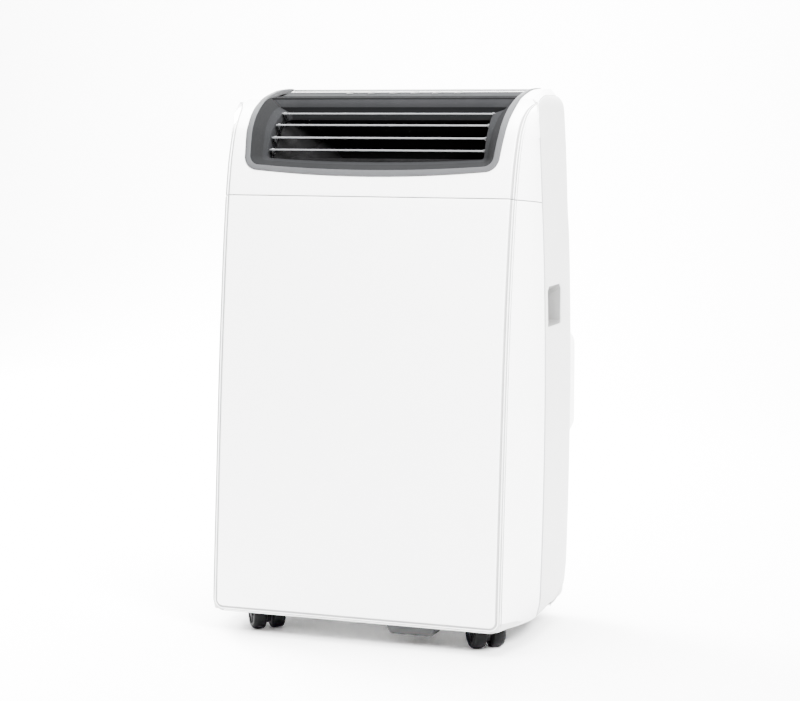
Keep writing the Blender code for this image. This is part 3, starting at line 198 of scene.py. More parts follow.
def capped(bm, rows):
    """A closed strip with its first and last row filled."""
    verts = strip(bm, rows, closed=True)
    bm.faces.new(verts[0])
    bm.faces.new(verts[-1])


def tube_ring(bm, rings, slot=lambda ring, column: 0):
    """Closed outlines joined one to the next, and the last to the first."""
    verts = [[bm.verts.new(p) for p in ring] for ring in rings]
    count = len(rings[0])
    for k, ring in enumerate(verts):
        following = verts[(k + 1) % len(verts)]
        for i in range(count):
            j = (i + 1) % count
            face = bm.faces.new((ring[i], ring[j], following[j], following[i]))
            face.material_index = slot(k, i)


def add_wall(obj, thickness):
    """Gives a surface its thickness in mm, inwards."""
    wall = obj.modifiers.new("wall", "SOLIDIFY")
    wall.thickness = thickness * MM
    wall.offset = -1.0
    return wall


def skin_piece(name, groups, mat, replaced):
    """One of the covers: an open surface, with its listed columns and first rows in painted crease shade, given a
    wall.
    """
    bm = bmesh.new()
    for rows, columns, first_rows in groups:
        strip(bm, rows, columns=columns, first_rows=first_rows)
    bmesh.ops.remove_doubles(bm, verts=bm.verts, dist=1e-5)
    bmesh.ops.dissolve_degenerate(bm, edges=bm.edges, dist=1e-6)
    made = finish_mesh(name, bm, mat, 50)
    # Slot 1 is the painted crease shade.
    made.data.materials.append(PAINTED_CREASE_SHADE)
    centre = Vector((0, 0, 0.36))
    total = sum((p.center - centre).dot(p.normal) * p.area for p in made.data.polygons)
    if total < 0:
        made.data.flip_normals()
    add_wall(made, WALL).use_even_offset = False
    return place_piece(made, "housing", "white_cover", replaced)


def apply_modifiers(obj):
    graph = bpy.context.evaluated_depsgraph_get()
    mesh = bpy.data.meshes.new_from_object(obj.evaluated_get(graph), depsgraph=graph)
    obj.modifiers.clear()
    obj.data = mesh
    return obj


def cut(obj, *cutters):
    for cutter in cutters:
        step = obj.modifiers.new("cut", "BOOLEAN")
        step.operation = "DIFFERENCE"
        step.solver = "EXACT"
        step.object = cutter
    bpy.context.view_layer.update()
    apply_modifiers(obj)
    for cutter in cutters:
        bpy.data.objects.remove(cutter)
    return obj


def soften(obj, width, degrees):
    step = obj.modifiers.new("edges", "BEVEL")
    step.width = width * MM
    step.segments = 2
    step.limit_method = "ANGLE"
    step.angle_limit = math.radians(degrees)
    step.harden_normals = False


def prism(name, outline, axis, low, high, mat=None):
    """A flat outline in mm given thickness: (y, z) for x, (x, z) for y, (x, y) for z."""
    order = {"x": (2, 0, 1), "y": (0, 2, 1), "z": (0, 1, 2)}[axis]
    bm = bmesh.new()
    capped(bm, [[mm(*((a, b, t)[k] for k in order)) for a, b in outline] for t in (low, high)])
    return finish_mesh(name, bm, mat or WHITE)


def lathe(bm, profile, place, steps=40):
    """A profile of (radius, height) in mm turned about local Z and put in place; ends on the axis close it."""
    rings = []
    for r, z in profile:
        turns = [0.0] if r == 0 else [2 * math.pi * i / steps for i in range(steps)]
        rings.append([bm.verts.new(place @ Vector((r * MM * math.cos(a), r * MM * math.sin(a), z * MM)))
                      for a in turns])
    for a, b in zip(rings, rings[1:]):
        for i in range(steps):
            j = (i + 1) % steps
            corners = dict.fromkeys((a[i % len(a)], a[j % len(a)], b[j % len(b)], b[i % len(b)]))
            if len(corners) > 2:
                bm.faces.new(list(corners))


def facing_back(x, z):
    """Local Z along the part's Y, through (x, z) in mm."""
    return Matrix.Translation((x * MM, 0, z * MM)) @ Matrix.Rotation(math.radians(-90), 4, "X")


def place_piece(obj, body, slot, *replaced):
    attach(obj, body)
    if replaced:
        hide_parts(*replaced)
    return obj


def arc(cx, cy, r, start, end, steps):
    return [(cx + r * math.cos(math.radians(start + (end - start) * i / steps)),
             cy + r * math.sin(math.radians(start + (end - start) * i / steps))) for i in range(steps + 1)]


def clamp(share):
    return min(max(share, 0.0), 1.0)


def lerp(table, x):
    """Linear reading of a sorted table of (x, value)."""
    if x <= table[0][0]:
        return table[0][1]
    for (x0, v0), (x1, v1) in zip(table, table[1:]):
        if x <= x1:
            return v0 + (v1 - v0) * (x - x0) / (x1 - x0)
    return table[-1][1]


def smooth_curve(points, per_span):
    padded = [points[0], *points, points[-1]]
    curve = []
    for p0, p1, p2, p3 in zip(padded, padded[1:], padded[2:], padded[3:]):
        for step in range(per_span):
            t = step / per_span
            curve.append(tuple(0.5 * (2 * b + (c - a) * t + (2 * a - 5 * b + 4 * c - d) * t * t
                                      + (3 * b - a - 3 * c + d) * t ** 3) for a, b, c, d in zip(p0, p1, p2, p3)))
    return curve + [tuple(points[-1])]


# ---- the housing's form, in millimetres
FACE_PROFILE = [
    (-150, 28), (-147.9, 70), (-140.5, 166), (-132.5, 269), (-123.1, 372), (-111.5, 474), (-100.1, 551),
    (-90.9, 596), (-83, 621), (-72.5, 645), (-60.5, 660), (-45.5, 672), (-28, 681.5), (-12, 688),
    (8, 693), (32, 697.5), (56, 699.4), (72, 700), (125, 700),
]
CURVE = [(y, min(z, 700)) for y, z in smooth_curve(FACE_PROFILE, 12)]
SEAM_Y = -37.5
SEAM_FACE_Z = 564.2
SEAM_SLOPE = -0.10
LIP_Z = 31
BACK_Y = 120.5
CORNER_R = 43.5
CORNER_Y = BACK_Y - CORNER_R
FOOT_R = 45
EDGE_X = [(430, 193.3), (557, 194), (640, 195), (665, 196), (674, 197.4), (679, 200.2), (681.2, 203)]
SEAM_TOP = [  # face height, then the point of the side seam that its row ends on
    (640, (210.1, -37.5, 636)), (655, (209.3, -37.5, 648)), (665, (208.6, -37.5, 657)),
    (673, (207.9, -37, 667)), (678, (205.6, -32.5, 675.5)), (681.2, (203.4, -27.6, 680.6)),
]
GROOVE_Z = [(-37.5, 667), (-32.5, 675.5), (-27, 680.8), (-16, 684.6), (-5, 687.2), (6, 689.4),
            (18, 691), (60, 691), (130, 690)]
BEAD = [  # (distance inside the face's outline, depth): flat face, channel, ridge, groove, flank's lip
    (7.4, 0), (6.3, 0), (5.8, 0.12), (5.4, 0.5), (5.1, 1.3), (4.85, 2.2), (4.5, 2.7), (3.9, 2.9), (3, 2.85),
    (2.4, 2.6), (2, 2.1), (1.6, 1.85), (1.2, 1.95), (0.9, 2.5), (0.75, 3.6), (0.6, 5.2), (0.4, 5.8), (0.1, 5.8),
    (-0.1, 5), (-0.4, 4.2)]


def face_at_z(z):
    for (y0, z0), (y1, z1) in zip(CURVE, CURVE[1:]):
        if z0 <= z <= z1 and z1 > z0:
            return y0 + (y1 - y0) * (z - z0) / (z1 - z0)
    return CURVE[0][0] if z < CURVE[0][1] else 72


def top_at_y(y):
    return lerp(CURVE, y)


def face_normal(y):
    """Outward (y, z) of the face at a point given by its y."""
    dz = top_at_y(y + 0.7) - top_at_y(y - 0.7) if y > -149 else 2 * 20
    length = math.hypot(1.4, dz)
    return (-dz / length, 1.4 / length)


def half_width(z):
    k = 6.7e-5 if z < 310 else 8.8e-5
    return 218.4 - k * (z - 310) ** 2


def seam_warp(y, z):
    weight = max(0, 1 - abs(z - SEAM_FACE_Z) / 60)
    weight = weight * weight * (3 - 2 * weight)
    return z + SEAM_SLOPE * (y - face_at_z(SEAM_FACE_Z)) * weight


def point(x, y, z):
    return mm(x, y, seam_warp(y, z))


def groove_x(y):
    """Half width of the line between top cover and rear shell."""
    return 203 - 0.067 * (y + 27)


def foot_inset(z, y=SEAM_Y):
    """How far the flanks draw in towards the lower edge, more so towards the back."""
    return (4.1 + 4.5 * clamp((y - SEAM_Y) / 115)) * clamp((52 - z) / 24) ** 1.5


def flank(start, end, steps):
    """Points from the bead's lip to the side seam, swelling like a quarter sine and rolled in at the seam."""
    row = []
    shares = [k / steps for k in range(1, steps - 2)] + [0.955, 0.985, 1]
    rolled = {0.985: 0.15, 1: 0.75}
    for share in shares:
        x = start[0] + (end[0] - start[0]) * math.sin(math.pi / 2 * share) - rolled.get(share, 0)
        row.append((x, start[1] + (end[1] - start[1]) * share, start[2] + (end[2] - start[2]) * share))
    return row


FLANK_STEPS = 16
# The two sets below pick the quads painted in crease shade.
BEAD_PAINTED_SHADE = {4, 5, 6, 7, 8, 13, 14, 15, 16, 17, 18}  # quads of BEAD at the bottom of its channel and groove
SEAM_PAINTED_SHADE = {len(BEAD) + FLANK_STEPS - 2}  # the flank's last quad, rolled in at the side seam


def two_sided(rows):
    """Rows of right-hand points in millimetres made into the right-hand and the left-hand surface."""
    return [[point(*p) for p in row] for row in rows], [[point(-x, y, z) for x, y, z in row] for row in rows]


def bead_row(z, y, scale=1, edge=None, sunk=0):
    """From the flat face over the bead to the flank's lip, at one height."""
    edge = lerp(EDGE_X, z) if edge is None else edge
    ny, nz = face_normal(y)
    row = []
    for offset, depth in BEAD:
        depth = depth * scale + sunk
        row.append((edge - offset * (0.4 + 0.6 * scale), y - ny * depth, z - nz * depth))
    return row


# ---- front panel and upper front cover
PANEL_CORNER_R = 13
ROLL = [(30.1, 4.3), (29.2, 5.1), (28.5, 6.6), (28.1, 8.6), (28, 11)]  # (z, depth) under the front edge


def on_face(x, z, depth):
    y = face_at_z(z)
    ny, nz = face_normal(y)
    return (x, y - ny * depth, z - nz * depth)


def seam_end(z):
    return (half_width(z) - foot_inset(z), SEAM_Y, z)


def lower_front():
    """Nested outlines follow the sides and the rounded lower corners; the face fills their inside."""
    radius, across = PANEL_CORNER_R, 24
    top = SEAM_FACE_Z
    heights = [top - 0.35, top - 0.8, top - 1.6, top - 8] + [top - 24 - 16.4 * i for i in range(31)]
    heights = [z for z in heights if z > LIP_Z + radius + 3] + [LIP_Z + radius]
    rows, bottoms = [], []
    for z in heights:
        edge = lerp(EDGE_X, z)
        sunk = {0: 0.7, 1: 0.15}.get(len(rows), 0)
        row = [on_face(edge - offset, z, depth + sunk) for offset, depth in BEAD]
        rows.append(row + flank(row[-1], seam_end(row[-1][2]), FLANK_STEPS))
    edge = lerp(EDGE_X, LIP_Z)
    for i in range(1, 11):
        a = math.pi / 2 * i / 10
        row = [on_face(edge - radius + (radius - offset) * math.cos(a),
                       LIP_Z + radius - (radius - offset) * math.sin(a), depth) for offset, depth in BEAD]
        rows.append(row + flank(row[-1], seam_end(row[-1][2]), FLANK_STEPS))
    for i in range(across // 2 + 1):
        x = (edge - radius) * (1 - i / (across // 2))
        row = [on_face(x, LIP_Z + offset, depth) for offset, depth in BEAD]
        bottoms.append(row + [(x, face_at_z(LIP_Z) + depth, z) for z, depth in ROLL])
    lip = bottoms[0][len(BEAD) - 1:]
    under = [[start] + flank(start, seam_end(start[2]), FLANK_STEPS) for start in lip]
    groups = []
    # The bead's channel and groove, the seam's rolled quad and the row at the face joint get painted shade.
    for group, columns, first in ((rows, BEAD_PAINTED_SHADE | SEAM_PAINTED_SHADE, 1), (bottoms, BEAD_PAINTED_SHADE, 0), (under, (), 0)):
        groups += [(side, columns, first) for side in two_sided(group)]
    groups.append(([[point(row[0][0] * (2 * k / across - 1), row[0][1], row[0][2]) for k in range(across + 1)]
                    for row in rows], (), 1))
    return skin_piece("front_panel_skin", groups, FACE, "front_panel")


def upper_front():
    """Rows climb the face from the joint over the crown to the top cover's front edge."""
    heights = [SEAM_FACE_Z + t for t in (0.35, 0.8, 1.6, 5, 12, 20, 28, 36, 44, 52, 60, 68, 75)]
    heights += [644, 648.5, 653, 657, 660.5, 664, 667, 670, 672.5, 675, 677, 679, 680.4, 681.2]
    rows = []
    for z in heights:
        y = face_at_z(z)
        sunk = {0: 0.7, 1: 0.15}.get(len(rows), 0)
        scale = lerp([(600, 1), (660, 0.85), (681.2, 0.30)], z)
        row = bead_row(z, y, scale, sunk=sunk)
        start = row[-1]
        if z <= 640:
            end = (half_width(start[2]), SEAM_Y, start[2])
        else:
            end = tuple(lerp([(h, p[k]) for h, p in SEAM_TOP], z) for k in range(3))
        row += flank(start, end, FLANK_STEPS)
        rows.append(row)
    last_y = face_at_z(681.2)
    for i in range(1, 6):
        y = last_y + (-17.9 - last_y) * i / 5
        z = top_at_y(y)
        edge = 203 + (196.2 - 203) * i / 5
        row = bead_row(z, y, 0.30, edge)
        end = row[-1]
        row += [(end[0] + 0.01 * k, end[1], end[2] - 0.01 * k) for k in range(1, FLANK_STEPS + 1)]
        rows.append(row)
    full = []
    for row, right, left in zip(rows, *two_sided(rows)):
        x, y, z = row[0]
        full.append(left[::-1] + [point(x * (2 * k / 24 - 1), y, z) for k in range(1, 24)] + right)
    half, count = len(rows[0]), len(full[0])
    # Painted shade on the bead's channel and groove, the seam's rolled quad and the row at the face joint.
    columns = {i for c in BEAD_PAINTED_SHADE | SEAM_PAINTED_SHADE for i in (c + half + 23, count - 2 - c - half - 23)}
    return skin_piece("upper_front_skin", [(full, columns, 1)], FACE, "upper_front_cover")


# ---- outlet frame outlines
RIM_X = [(596, 171), (618, 171.9), (635, 173.8), (644, 174.9), (652, 175.4), (660, 176.1), (668, 177),
         (676, 177.7), (690, 177.6), (696, 176.9)]
INNER_X = [(603, 163.2), (620, 164.4), (646, 167), (660, 168), (677, 169.2), (689, 171)]


def loop(side_x, low_z, sag, corner_r, top_y, side_steps=16, bottom_steps=14):
    """Right half of a closed outline round the outlet as (x, y on the face), from the bottom's middle up."""
    corner_z = low_z + sag
    reach = lerp(side_x, corner_z + corner_r) - corner_r
    points = []
    for i in range(bottom_steps + 1):
        x = reach * i / bottom_steps
        points.append((x, face_at_z(low_z + sag * (x / reach) ** 2)))
    for i in range(1, 9):
        a = math.radians(90 * i / 8)
        z = corner_z + corner_r * (1 - math.cos(a))
        points.append((reach + corner_r * math.sin(a), face_at_z(z)))
    start = points[-1][1]
    for i in range(1, side_steps + 1):
        y = start + (top_y - start) * i / side_steps
        points.append((lerp(side_x, top_at_y(y)), y))
    return points


def skin_point(x, y, depth):
    ny, nz = face_normal(y)
    return mm(x, y - ny * depth, top_at_y(y) - nz * depth)


TOP_COLUMNS = 10


def closed_ring(half, depth_low, depth_high):
    """Both halves and the top edge of an outline, sunk under the face's skin by a depth that may change upwards."""
    def depth(y):
        return depth_low + (depth_high - depth_low) * clamp((y + 30) / (half[-1][1] + 30))
    right = [skin_point(x, y, depth(y)) for x, y in half]
    x_top, y_top = half[-1]
    top = [skin_point(x_top * (1 - 2 * k / TOP_COLUMNS), y_top, depth(y_top)) for k in range(1, TOP_COLUMNS)]
    left = [Vector((-p.x, p.y, p.z)) for p in reversed(right[1:])]
    return right + top + left


def outlet_frame():
    """Sloping recess, inner frame and throat, closed at the back: ten outlines from the rim inwards and out again."""
    wall_x = [(606, 151.5), (640, 153), (660, 155), (690, 158)]
    open_x = [(606, 147.3), (660, 146.5), (690, 143.5)]
    rings = []
    for table, widen, low_z, sag, corner_r, top_y, depth_low, depth_high in (
            (INNER_X, 0, 597.5, 5.5, 13, -1, -0.6, 2.2), (INNER_X, -0.8, 598.2, 5.5, 12.4, -1.3, -0.2, 3),
            (wall_x, 0, 606.5, 5, 6, -3.8, 10.2, 14.5), (wall_x, -0.6, 607, 5, 5.6, -3.6, 10.9, 15.2),
            (open_x, 0, 611, 4.6, 4, -1.8, 13.2, 24), (open_x, -0.5, 611.4, 4.6, 4, -1.8, 14.2, 24.6),
            (open_x, -0.2, 612.5, 4.6, 4, -1, 27, 33), (open_x, 2.2, 610, 4.6, 5, 1, 27.2, 33),
            (wall_x, 2.2, 604.5, 5, 7, -0.5, 13.4, 17), (INNER_X, 1.2, 596, 5.5, 14, 1.5, 3.2, 6)):
        side_x = [(z, x + widen) for z, x in table]
        rings.append(closed_ring(loop(side_x, low_z, sag, corner_r, top_y), depth_low, depth_high))
    top_first = (len(rings[0]) - TOP_COLUMNS + 2) // 2 - 1

    def slot(ring, column):
        if ring < 2 and top_first <= column < top_first + TOP_COLUMNS:
            return 2
        return 1 if ring in (2, 3, 4, 5, 6) else 0

    bm = bmesh.new()
    tube_ring(bm, rings, slot)
    made = finish_mesh("outlet_recess", bm, RECESS, 32)
    made.data.materials.append(INNER)
    made.data.materials.append(BAND)
    place_piece(made, "housing", "grey_trim")


def outlet_rim():
    """Silver rim: down both arms from the back of the top, round the outlet's sides and along its bottom."""
    outer = loop(RIM_X, 589.3, 7, 19, 77.5, 60)
    inner = loop(INNER_X, 597.5, 5.5, 13, 77.5, 60)
    section = [(0, 3), (0, -0.2), (0.03, -0.7), (0.10, -1), (0.5, -1.15), (0.88, -0.95), (0.96, -0.75),
               (1, -0.3), (1, 3)]
    half_rows = []
    for (xo, yo), (xi, yi) in zip(outer, inner):
        arm = clamp((yo + 6) / 12)
        row = []
        for t, depth in section:
            deep = depth if depth < 2.9 else 3 + (5 - 3) * arm
            row.append(skin_point(xo + (xi - xo) * t, yo + (yi - yo) * t, deep))
        half_rows.append(row)
    bm = bmesh.new()
    capped(bm, mirrored(half_rows) + half_rows)
    made = finish_mesh("outlet_rim", bm, RIM, 34)
    place_piece(made, "housing", "grey_trim", "outlet_bezel")


def bezel_cutter():
    """Fills what the rim needs in the covers, from the face back to behind the console."""
    outer = loop(RIM_X, 588.9, 7, 19.3, 78, 30)
    rows = []
    for x, y in outer:
        x = x + 0.35 if x > 1 else x
        rows.append([skin_point(x, y, -6), skin_point(x, y, 9)])
    half = len(rows)
    rows += mirrored(rows)
    bm = bmesh.new()
    for verts in strip(bm, list(zip(*rows)), closed=True):
        right, mirror = verts[:half], [verts[0]] + verts[:half - 1:-1]
        for i in range(half - 1):
            bm.faces.new(list(dict.fromkeys((right[i], right[i + 1], mirror[i + 1], mirror[i]))))
    return finish_mesh("bezel_cutter", bm, RIM)


# ---- rear shell and top cover
def shell_outline():
    """Right half of the plan behind the side seam: (kind, value) stations round to the middle of the back."""
    stations = [("side", y) for y in (-36.6, -36.2, -35.4, -33.5, -32.5, -29.5, -27, -20, -12, -4, 4, 12, 20, 28,
                                      38, 48, 58, 68, CORNER_Y)]
    stations += [("corner", a) for a in range(6, 91, 6)]
    return stations + [("back", share) for share in (0.75, 0.5, 0.25, 0)]


def back_y(z):
    if z >= 28 + FOOT_R:
        return BACK_Y
    drop = 28 + FOOT_R - z
    return BACK_Y - FOOT_R + math.sqrt(max(FOOT_R ** 2 - drop ** 2, 0))


def plan_point(station, z, inset):
    kind, value = station
    wide = half_width(z)
    shift = back_y(z) - BACK_Y
    if kind == "side":
        rolled = {-36.6: 0.75, -36.2: 0.15}.get(value, 0)
        return wide - inset - rolled, value + shift * max(0, value / CORNER_Y)
    centre_x, centre_y = wide - CORNER_R, CORNER_Y + shift
    if kind == "corner":
        a = math.radians(value)
        return centre_x + (CORNER_R - inset) * math.cos(a), centre_y + (CORNER_R - inset) * math.sin(a)
    return centre_x * value, BACK_Y + shift - inset


ROLL_ANGLE = math.pi / 2 * 0.93  # how far the shell's upper edge turns in


def groove_inset(station):
    """How far the shell has drawn in where it meets the top cover."""
    kind, value = station
    y = value if kind == "side" else CORNER_Y
    top = lerp(GROOVE_Z, y)
    return half_width(top) - groove_x(y), top


# The shell is drawn in the rear shell's painted-shade grey.
def rear_shell():
    """Columns round the plan, drawn in at the foot and rolled in under the top cover."""
    columns = []
    for station in shell_outline():
        kind, value = station
        inset_top, z_top = groove_inset(station)
        y_side = value if kind == "side" else 84
        up = 10 + 9 * clamp((y_side + 37.5) / 121.5)
        column = []
        for z in (28, 28.6, 30.5, 33, 36, 40, 44, 48):
            inset = foot_inset(z, value if kind == "side" else CORNER_Y)
            column.append((z, inset * (1 if kind == "side" else 0.5) + (0.9 if z == 28 else 0)))
        low, high = 52, z_top - up
        column += [(low + (high - low) * i / 26, 0) for i in range(27)]
        for i in range(1, 11):
            a = ROLL_ANGLE * i / 10
            column.append((high + up * math.sin(a) / math.sin(ROLL_ANGLE),
                           inset_top * (1 - math.cos(a)) / (1 - math.cos(ROLL_ANGLE))))
        columns.append([(*plan_point(station, z, inset), z) for z, inset in column])
    # The first three stations, rolled in at the side seam, get painted shade.
    return skin_piece("rear_shell_skin", [(side, (), 3) for side in two_sided(columns)], SHELL_PAINTED_SHADE, "rear_shell")


BAND_WIDTH = 7  # the bevelled band between the groove and the ridge


def top_cover():
    """Bevelled band up from the groove, a ridge, and the flat top in to the rim."""
    stations = [s for s in shell_outline() if not (s[0] == "side" and s[1] < -27.5)]
    rows = []
    for station in stations:
        kind, value = station
        inset, z_low = groove_inset(station)

        def at(extra):
            wide, total = half_width(z_low), inset + extra
            if kind == "side":
                return wide - total, value
            if kind == "corner":
                a = math.radians(value)
                return (wide - CORNER_R + (CORNER_R - total) * math.cos(a),
                        CORNER_Y + (CORNER_R - total) * math.sin(a))
            return (wide - CORNER_R) * value, BACK_Y - total

        row = [(*at(extra), z_low + lift) for extra, lift in ((0.9, -2), (0.35, 0.55), (0.55, 0.95))]
        ridge_z = top_at_y(value if kind == "side" else min(at(BAND_WIDTH)[1], 72))
        for share in (0.15, 0.35, 0.55, 0.75, 0.90):
            bulge = math.sin(math.pi * share) * 0.5
            row.append((*at(0.55 + (BAND_WIDTH - 0.55) * share - bulge),
                        z_low + 0.95 + (ridge_z - 0.35 - z_low - 0.95) * share))
        for extra, drop in ((7, 0.12), (7.4, 0), (8.2, 0), (10, 0), (13, 0)):
            px, py = at(extra)
            row.append((px, py, top_at_y(py) - drop))
        px, py = at(13)
        if kind == "side":
            target = (177.9 if value > -16 else 150, py)
        elif kind == "corner":
            target = (177.9 - max(0, value - 55) / 35 * 14, min(77 + value / 55 * 1.2, 78.2))
        else:
            target = (px * 0.955, 78.2)
        for k in range(1, 7):
            qx = px + (target[0] - px) * k / 6
            qy = py + (target[1] - py) * k / 6
            row.append((qx, qy, top_at_y(qy)))
        rows.append(row)
    front = []
    for x, y, z in rows[0]:
        share = clamp((203.4 - x) / 7)
        qy = -27 + share * 9.5
        lift = top_at_y(qy) - top_at_y(y) if share > 0.9 else (top_at_y(qy) - top_at_y(-27)) * share
        front.append((x, qy, z + lift))
    sides = two_sided([front] + [row for row in rows if row[0][1] > -19])
    # Column 0, the groove above the rear shell, gets painted shade.
    return skin_piece("top_cover_skin", [(side, {0}, 0) for side in sides], WHITE, "top_cover")


# ---- build the covers
lower_front()
upper_cover = upper_front()
shell = rear_shell()
lid = top_cover()
cut(upper_cover, bezel_cutter())
cut(lid, bezel_cutter())
for piece in (upper_cover, lid):
    soften(piece, 0.35, 60)
outlet_rim()
outlet_frame()

for mat, names in CARRIED:
    for name in names.split():
        NODES[name].data.materials.clear()
        NODES[name].data.materials.append(mat)


# ---- louvres
PIVOTS = [(-23.5, 667.5), (-43.5, 653), (-55.5, 637), (-63, 621.5)]
ARM = 8  # from a louvre's pivot to the link's pin


def louvre(index, pivot):
    """Thin aerofoil blade with a rounded nose, end bosses, stub pins and the arm for the link."""
    y, z = pivot
    shape = [(-8, 0), (-7.8, 0.55), (-7.2, 0.95), (-5, 1.25), (0, 1.3), (5, 0.85), (7.6, 0.45), (8, 0),
             (7.6, -0.35), (5, -0.5), (0, -0.75), (-5, -0.9), (-7.2, -0.8), (-7.8, -0.5)]
    bm = bmesh.new()
    ends = [(-141.5, 0.82), (-141.1, 0.96), (-140.4, 1)] + [(-140.4 + 281 * k / 28, 1) for k in range(1, 28)]
    ends += [(143.4, 1), (144.1, 0.96), (144.5, 0.82)]
    capped(bm, [[mm(x, y + a * scale, z + b * scale) for a, b in shape] for x, scale in ends])
    turn = Matrix.Rotation(math.radians(90), 4, "Y")
    for side, end, length in ((-1, 141, 149), (1, 144, 158 if index == 4 else 149)):
        run = side * (length - end)
        lathe(bm, [(0, -side), (2.1, -side), (2.1, run * 0.22), (1.25, run * 0.26), (1.25, run * 0.96), (0.9, run),
                   (0, run)], Matrix.Translation(mm(side * end, y, z)) @ turn, 18)
    ay, az = y + ARM * math.cos(math.radians(-45)), z + ARM * math.sin(math.radians(-45))
    across = Vector((0, 0.7071, 0.7071)) * 1.7
    beyond = Vector((0, 0.7071, -0.7071)) * 1.2
    a, b = Vector((0, y, z)) - beyond, Vector((0, ay, az)) + beyond
    capped(bm, [[(Vector((x, 0, 0)) + p) * MM for p in (a - across, b - across, b + across, a + across)]
                for x in (-143.2, -141.6)])
    lathe(bm, [(0, 0.5), (0.85, 0.5), (0.85, -2), (0, -2)], Matrix.Translation(mm(-143, ay, az)) @ turn, 14)
    made = finish_mesh(f"louvre_blade_{index}", bm, BLADE, 40)
    place_piece(made, f"louvre_{index}", "light_grey_plastic", f"louvre_{index}")


for number, spot in enumerate(PIVOTS, 1):
    louvre(number, spot)


# ---- console
SLOPE_FRONT = Vector((0, 26, 691))
SLOPE_BACK = Vector((0, 62.5, 697.5))
ALONG = (SLOPE_BACK - SLOPE_FRONT).normalized()
UP = Vector((0, -ALONG.z, ALONG.y))


def slope_point(x, share, above=0):
    p = SLOPE_FRONT + (SLOPE_BACK - SLOPE_FRONT) * share + UP * above
    return mm(x, p.y, p.z)


def slab(name, mat, outline, half, rounding):
    """A side-view outline (y, z) run across the outlet with softened edges."""
    made = prism(name, outline, "x", -half, half, mat)
    soften(made, rounding, 30)
    return made


def button_frame(x):
    """Places local Z along the console's normal, at a button."""
    origin = slope_point(x, 0.5)
    basis = Matrix((Vector((1, 0, 0)), ALONG, UP)).transposed().to_4x4()
    return Matrix.Translation(origin) @ basis


def console():
    """The sloping panel with its key pockets, the ledge before it, the display and the bar behind it."""
    def side_view(*corners):
        return [(p.y / MM, p.z / MM) for p in (slope_point(0, share, above) for share, above in corners)]

    panel = slab("console_panel", CONSOLE, side_view((0, 0), (1, 0), (1, -4), (0, -4)), 166, 0.3)
    apply_modifiers(panel)
    cutters = []
    for x in BUTTON_X:
        bm = bmesh.new()
        lathe(bm, [(0, -3), (6.3, -3), (6.3, -0.5), (7, 0.3), (7, 3), (0, 3)], button_frame(x))
        cutters.append(finish_mesh("pocket", bm, CONSOLE))
    cut(panel, *cutters)
    place_piece(panel, "housing", "light_grey_plastic", "control_panel")
    ledge = [(-1, 686.4), (-1, 688.3), (0, 688.9), (12, 690), (25.6, 690.7), (25.6, 687.4)]
    place_piece(slab("outlet_ledge", RECESS, ledge, 169.6, 0.4), "housing", "grey_trim")
    window = [(63, 694.2), (63, 697.5), (64.6, 699.3), (66, 699.7), (70.4, 699.7), (70.4, 694.2)]
    place_piece(slab("display_strip", WINDOW, window, 166, 0.4), "housing", "dark_window", "display_window")
    band = side_view((0.74, 0.15), (0.995, 0.15), (0.995, -0.6), (0.74, -0.6))
    place_piece(slab("display_band", WINDOW, band, 165.6, 0.15), "housing", "dark_window")
    back = [(70.9, 690), (70.9, 699.3), (71.5, 699.8), (77.2, 699.8), (77.6, 699.4), (77.6, 690)]
    place_piece(slab("outlet_back_bar", RIM, back, 171, 0.3), "housing", "grey_trim")


BUTTON_NAMES = ["power", "mode", "fan_speed", "timer", "temperature_down", "temperature_up"]
BUTTON_X = [-75 + 30 * i for i in range(6)]


def stroke(bm, place, points):
    """A raised line of a key's mark, 0.5 mm wide."""
    for (x0, y0), (x1, y1) in zip(points, points[1:]):
        a, b = Vector((x0, y0, 0)), Vector((x1, y1, 0))
        n = (b - a).normalized().cross(Vector((0, 0, 1))) * 0.5 / 2
        capped(bm, [[place @ ((p + Vector((0, 0, h))) * MM) for p in (a - n, b - n, b + n, a + n)]
                    for h in (-0.05, 0.12)])


def mark_lines(name):
    circle = [(2 * math.cos(a), 2 * math.sin(a)) for a in (math.radians(120 + 300 * i / 14) for i in range(15))]
    dial = [(2.2 * math.cos(a), 2.2 * math.sin(a)) for a in (2 * math.pi * i / 16 for i in range(17))]
    return {
        "power": [circle, [(0, 0.6), (0, 2.6)]],
        "mode": [[(-2, -1.4), (2, -1.4)], [(-2, 0), (2, 0)], [(-2, 1.4), (2, 1.4)]],
        "fan_speed": [[(-1.8, -1.6), (-1.8, -0.4)], [(0, -1.6), (0, 0.7)], [(1.8, -1.6), (1.8, 1.8)]],
        "timer": [dial, [(0, 1.3), (0, 0), (1.1, 0)]],
        "temperature_down": [[(-2, 1), (0, -1.2), (2, 1)]],
        "temperature_up": [[(-2, -1), (0, 1.2), (2, -1)]],
    }[name]


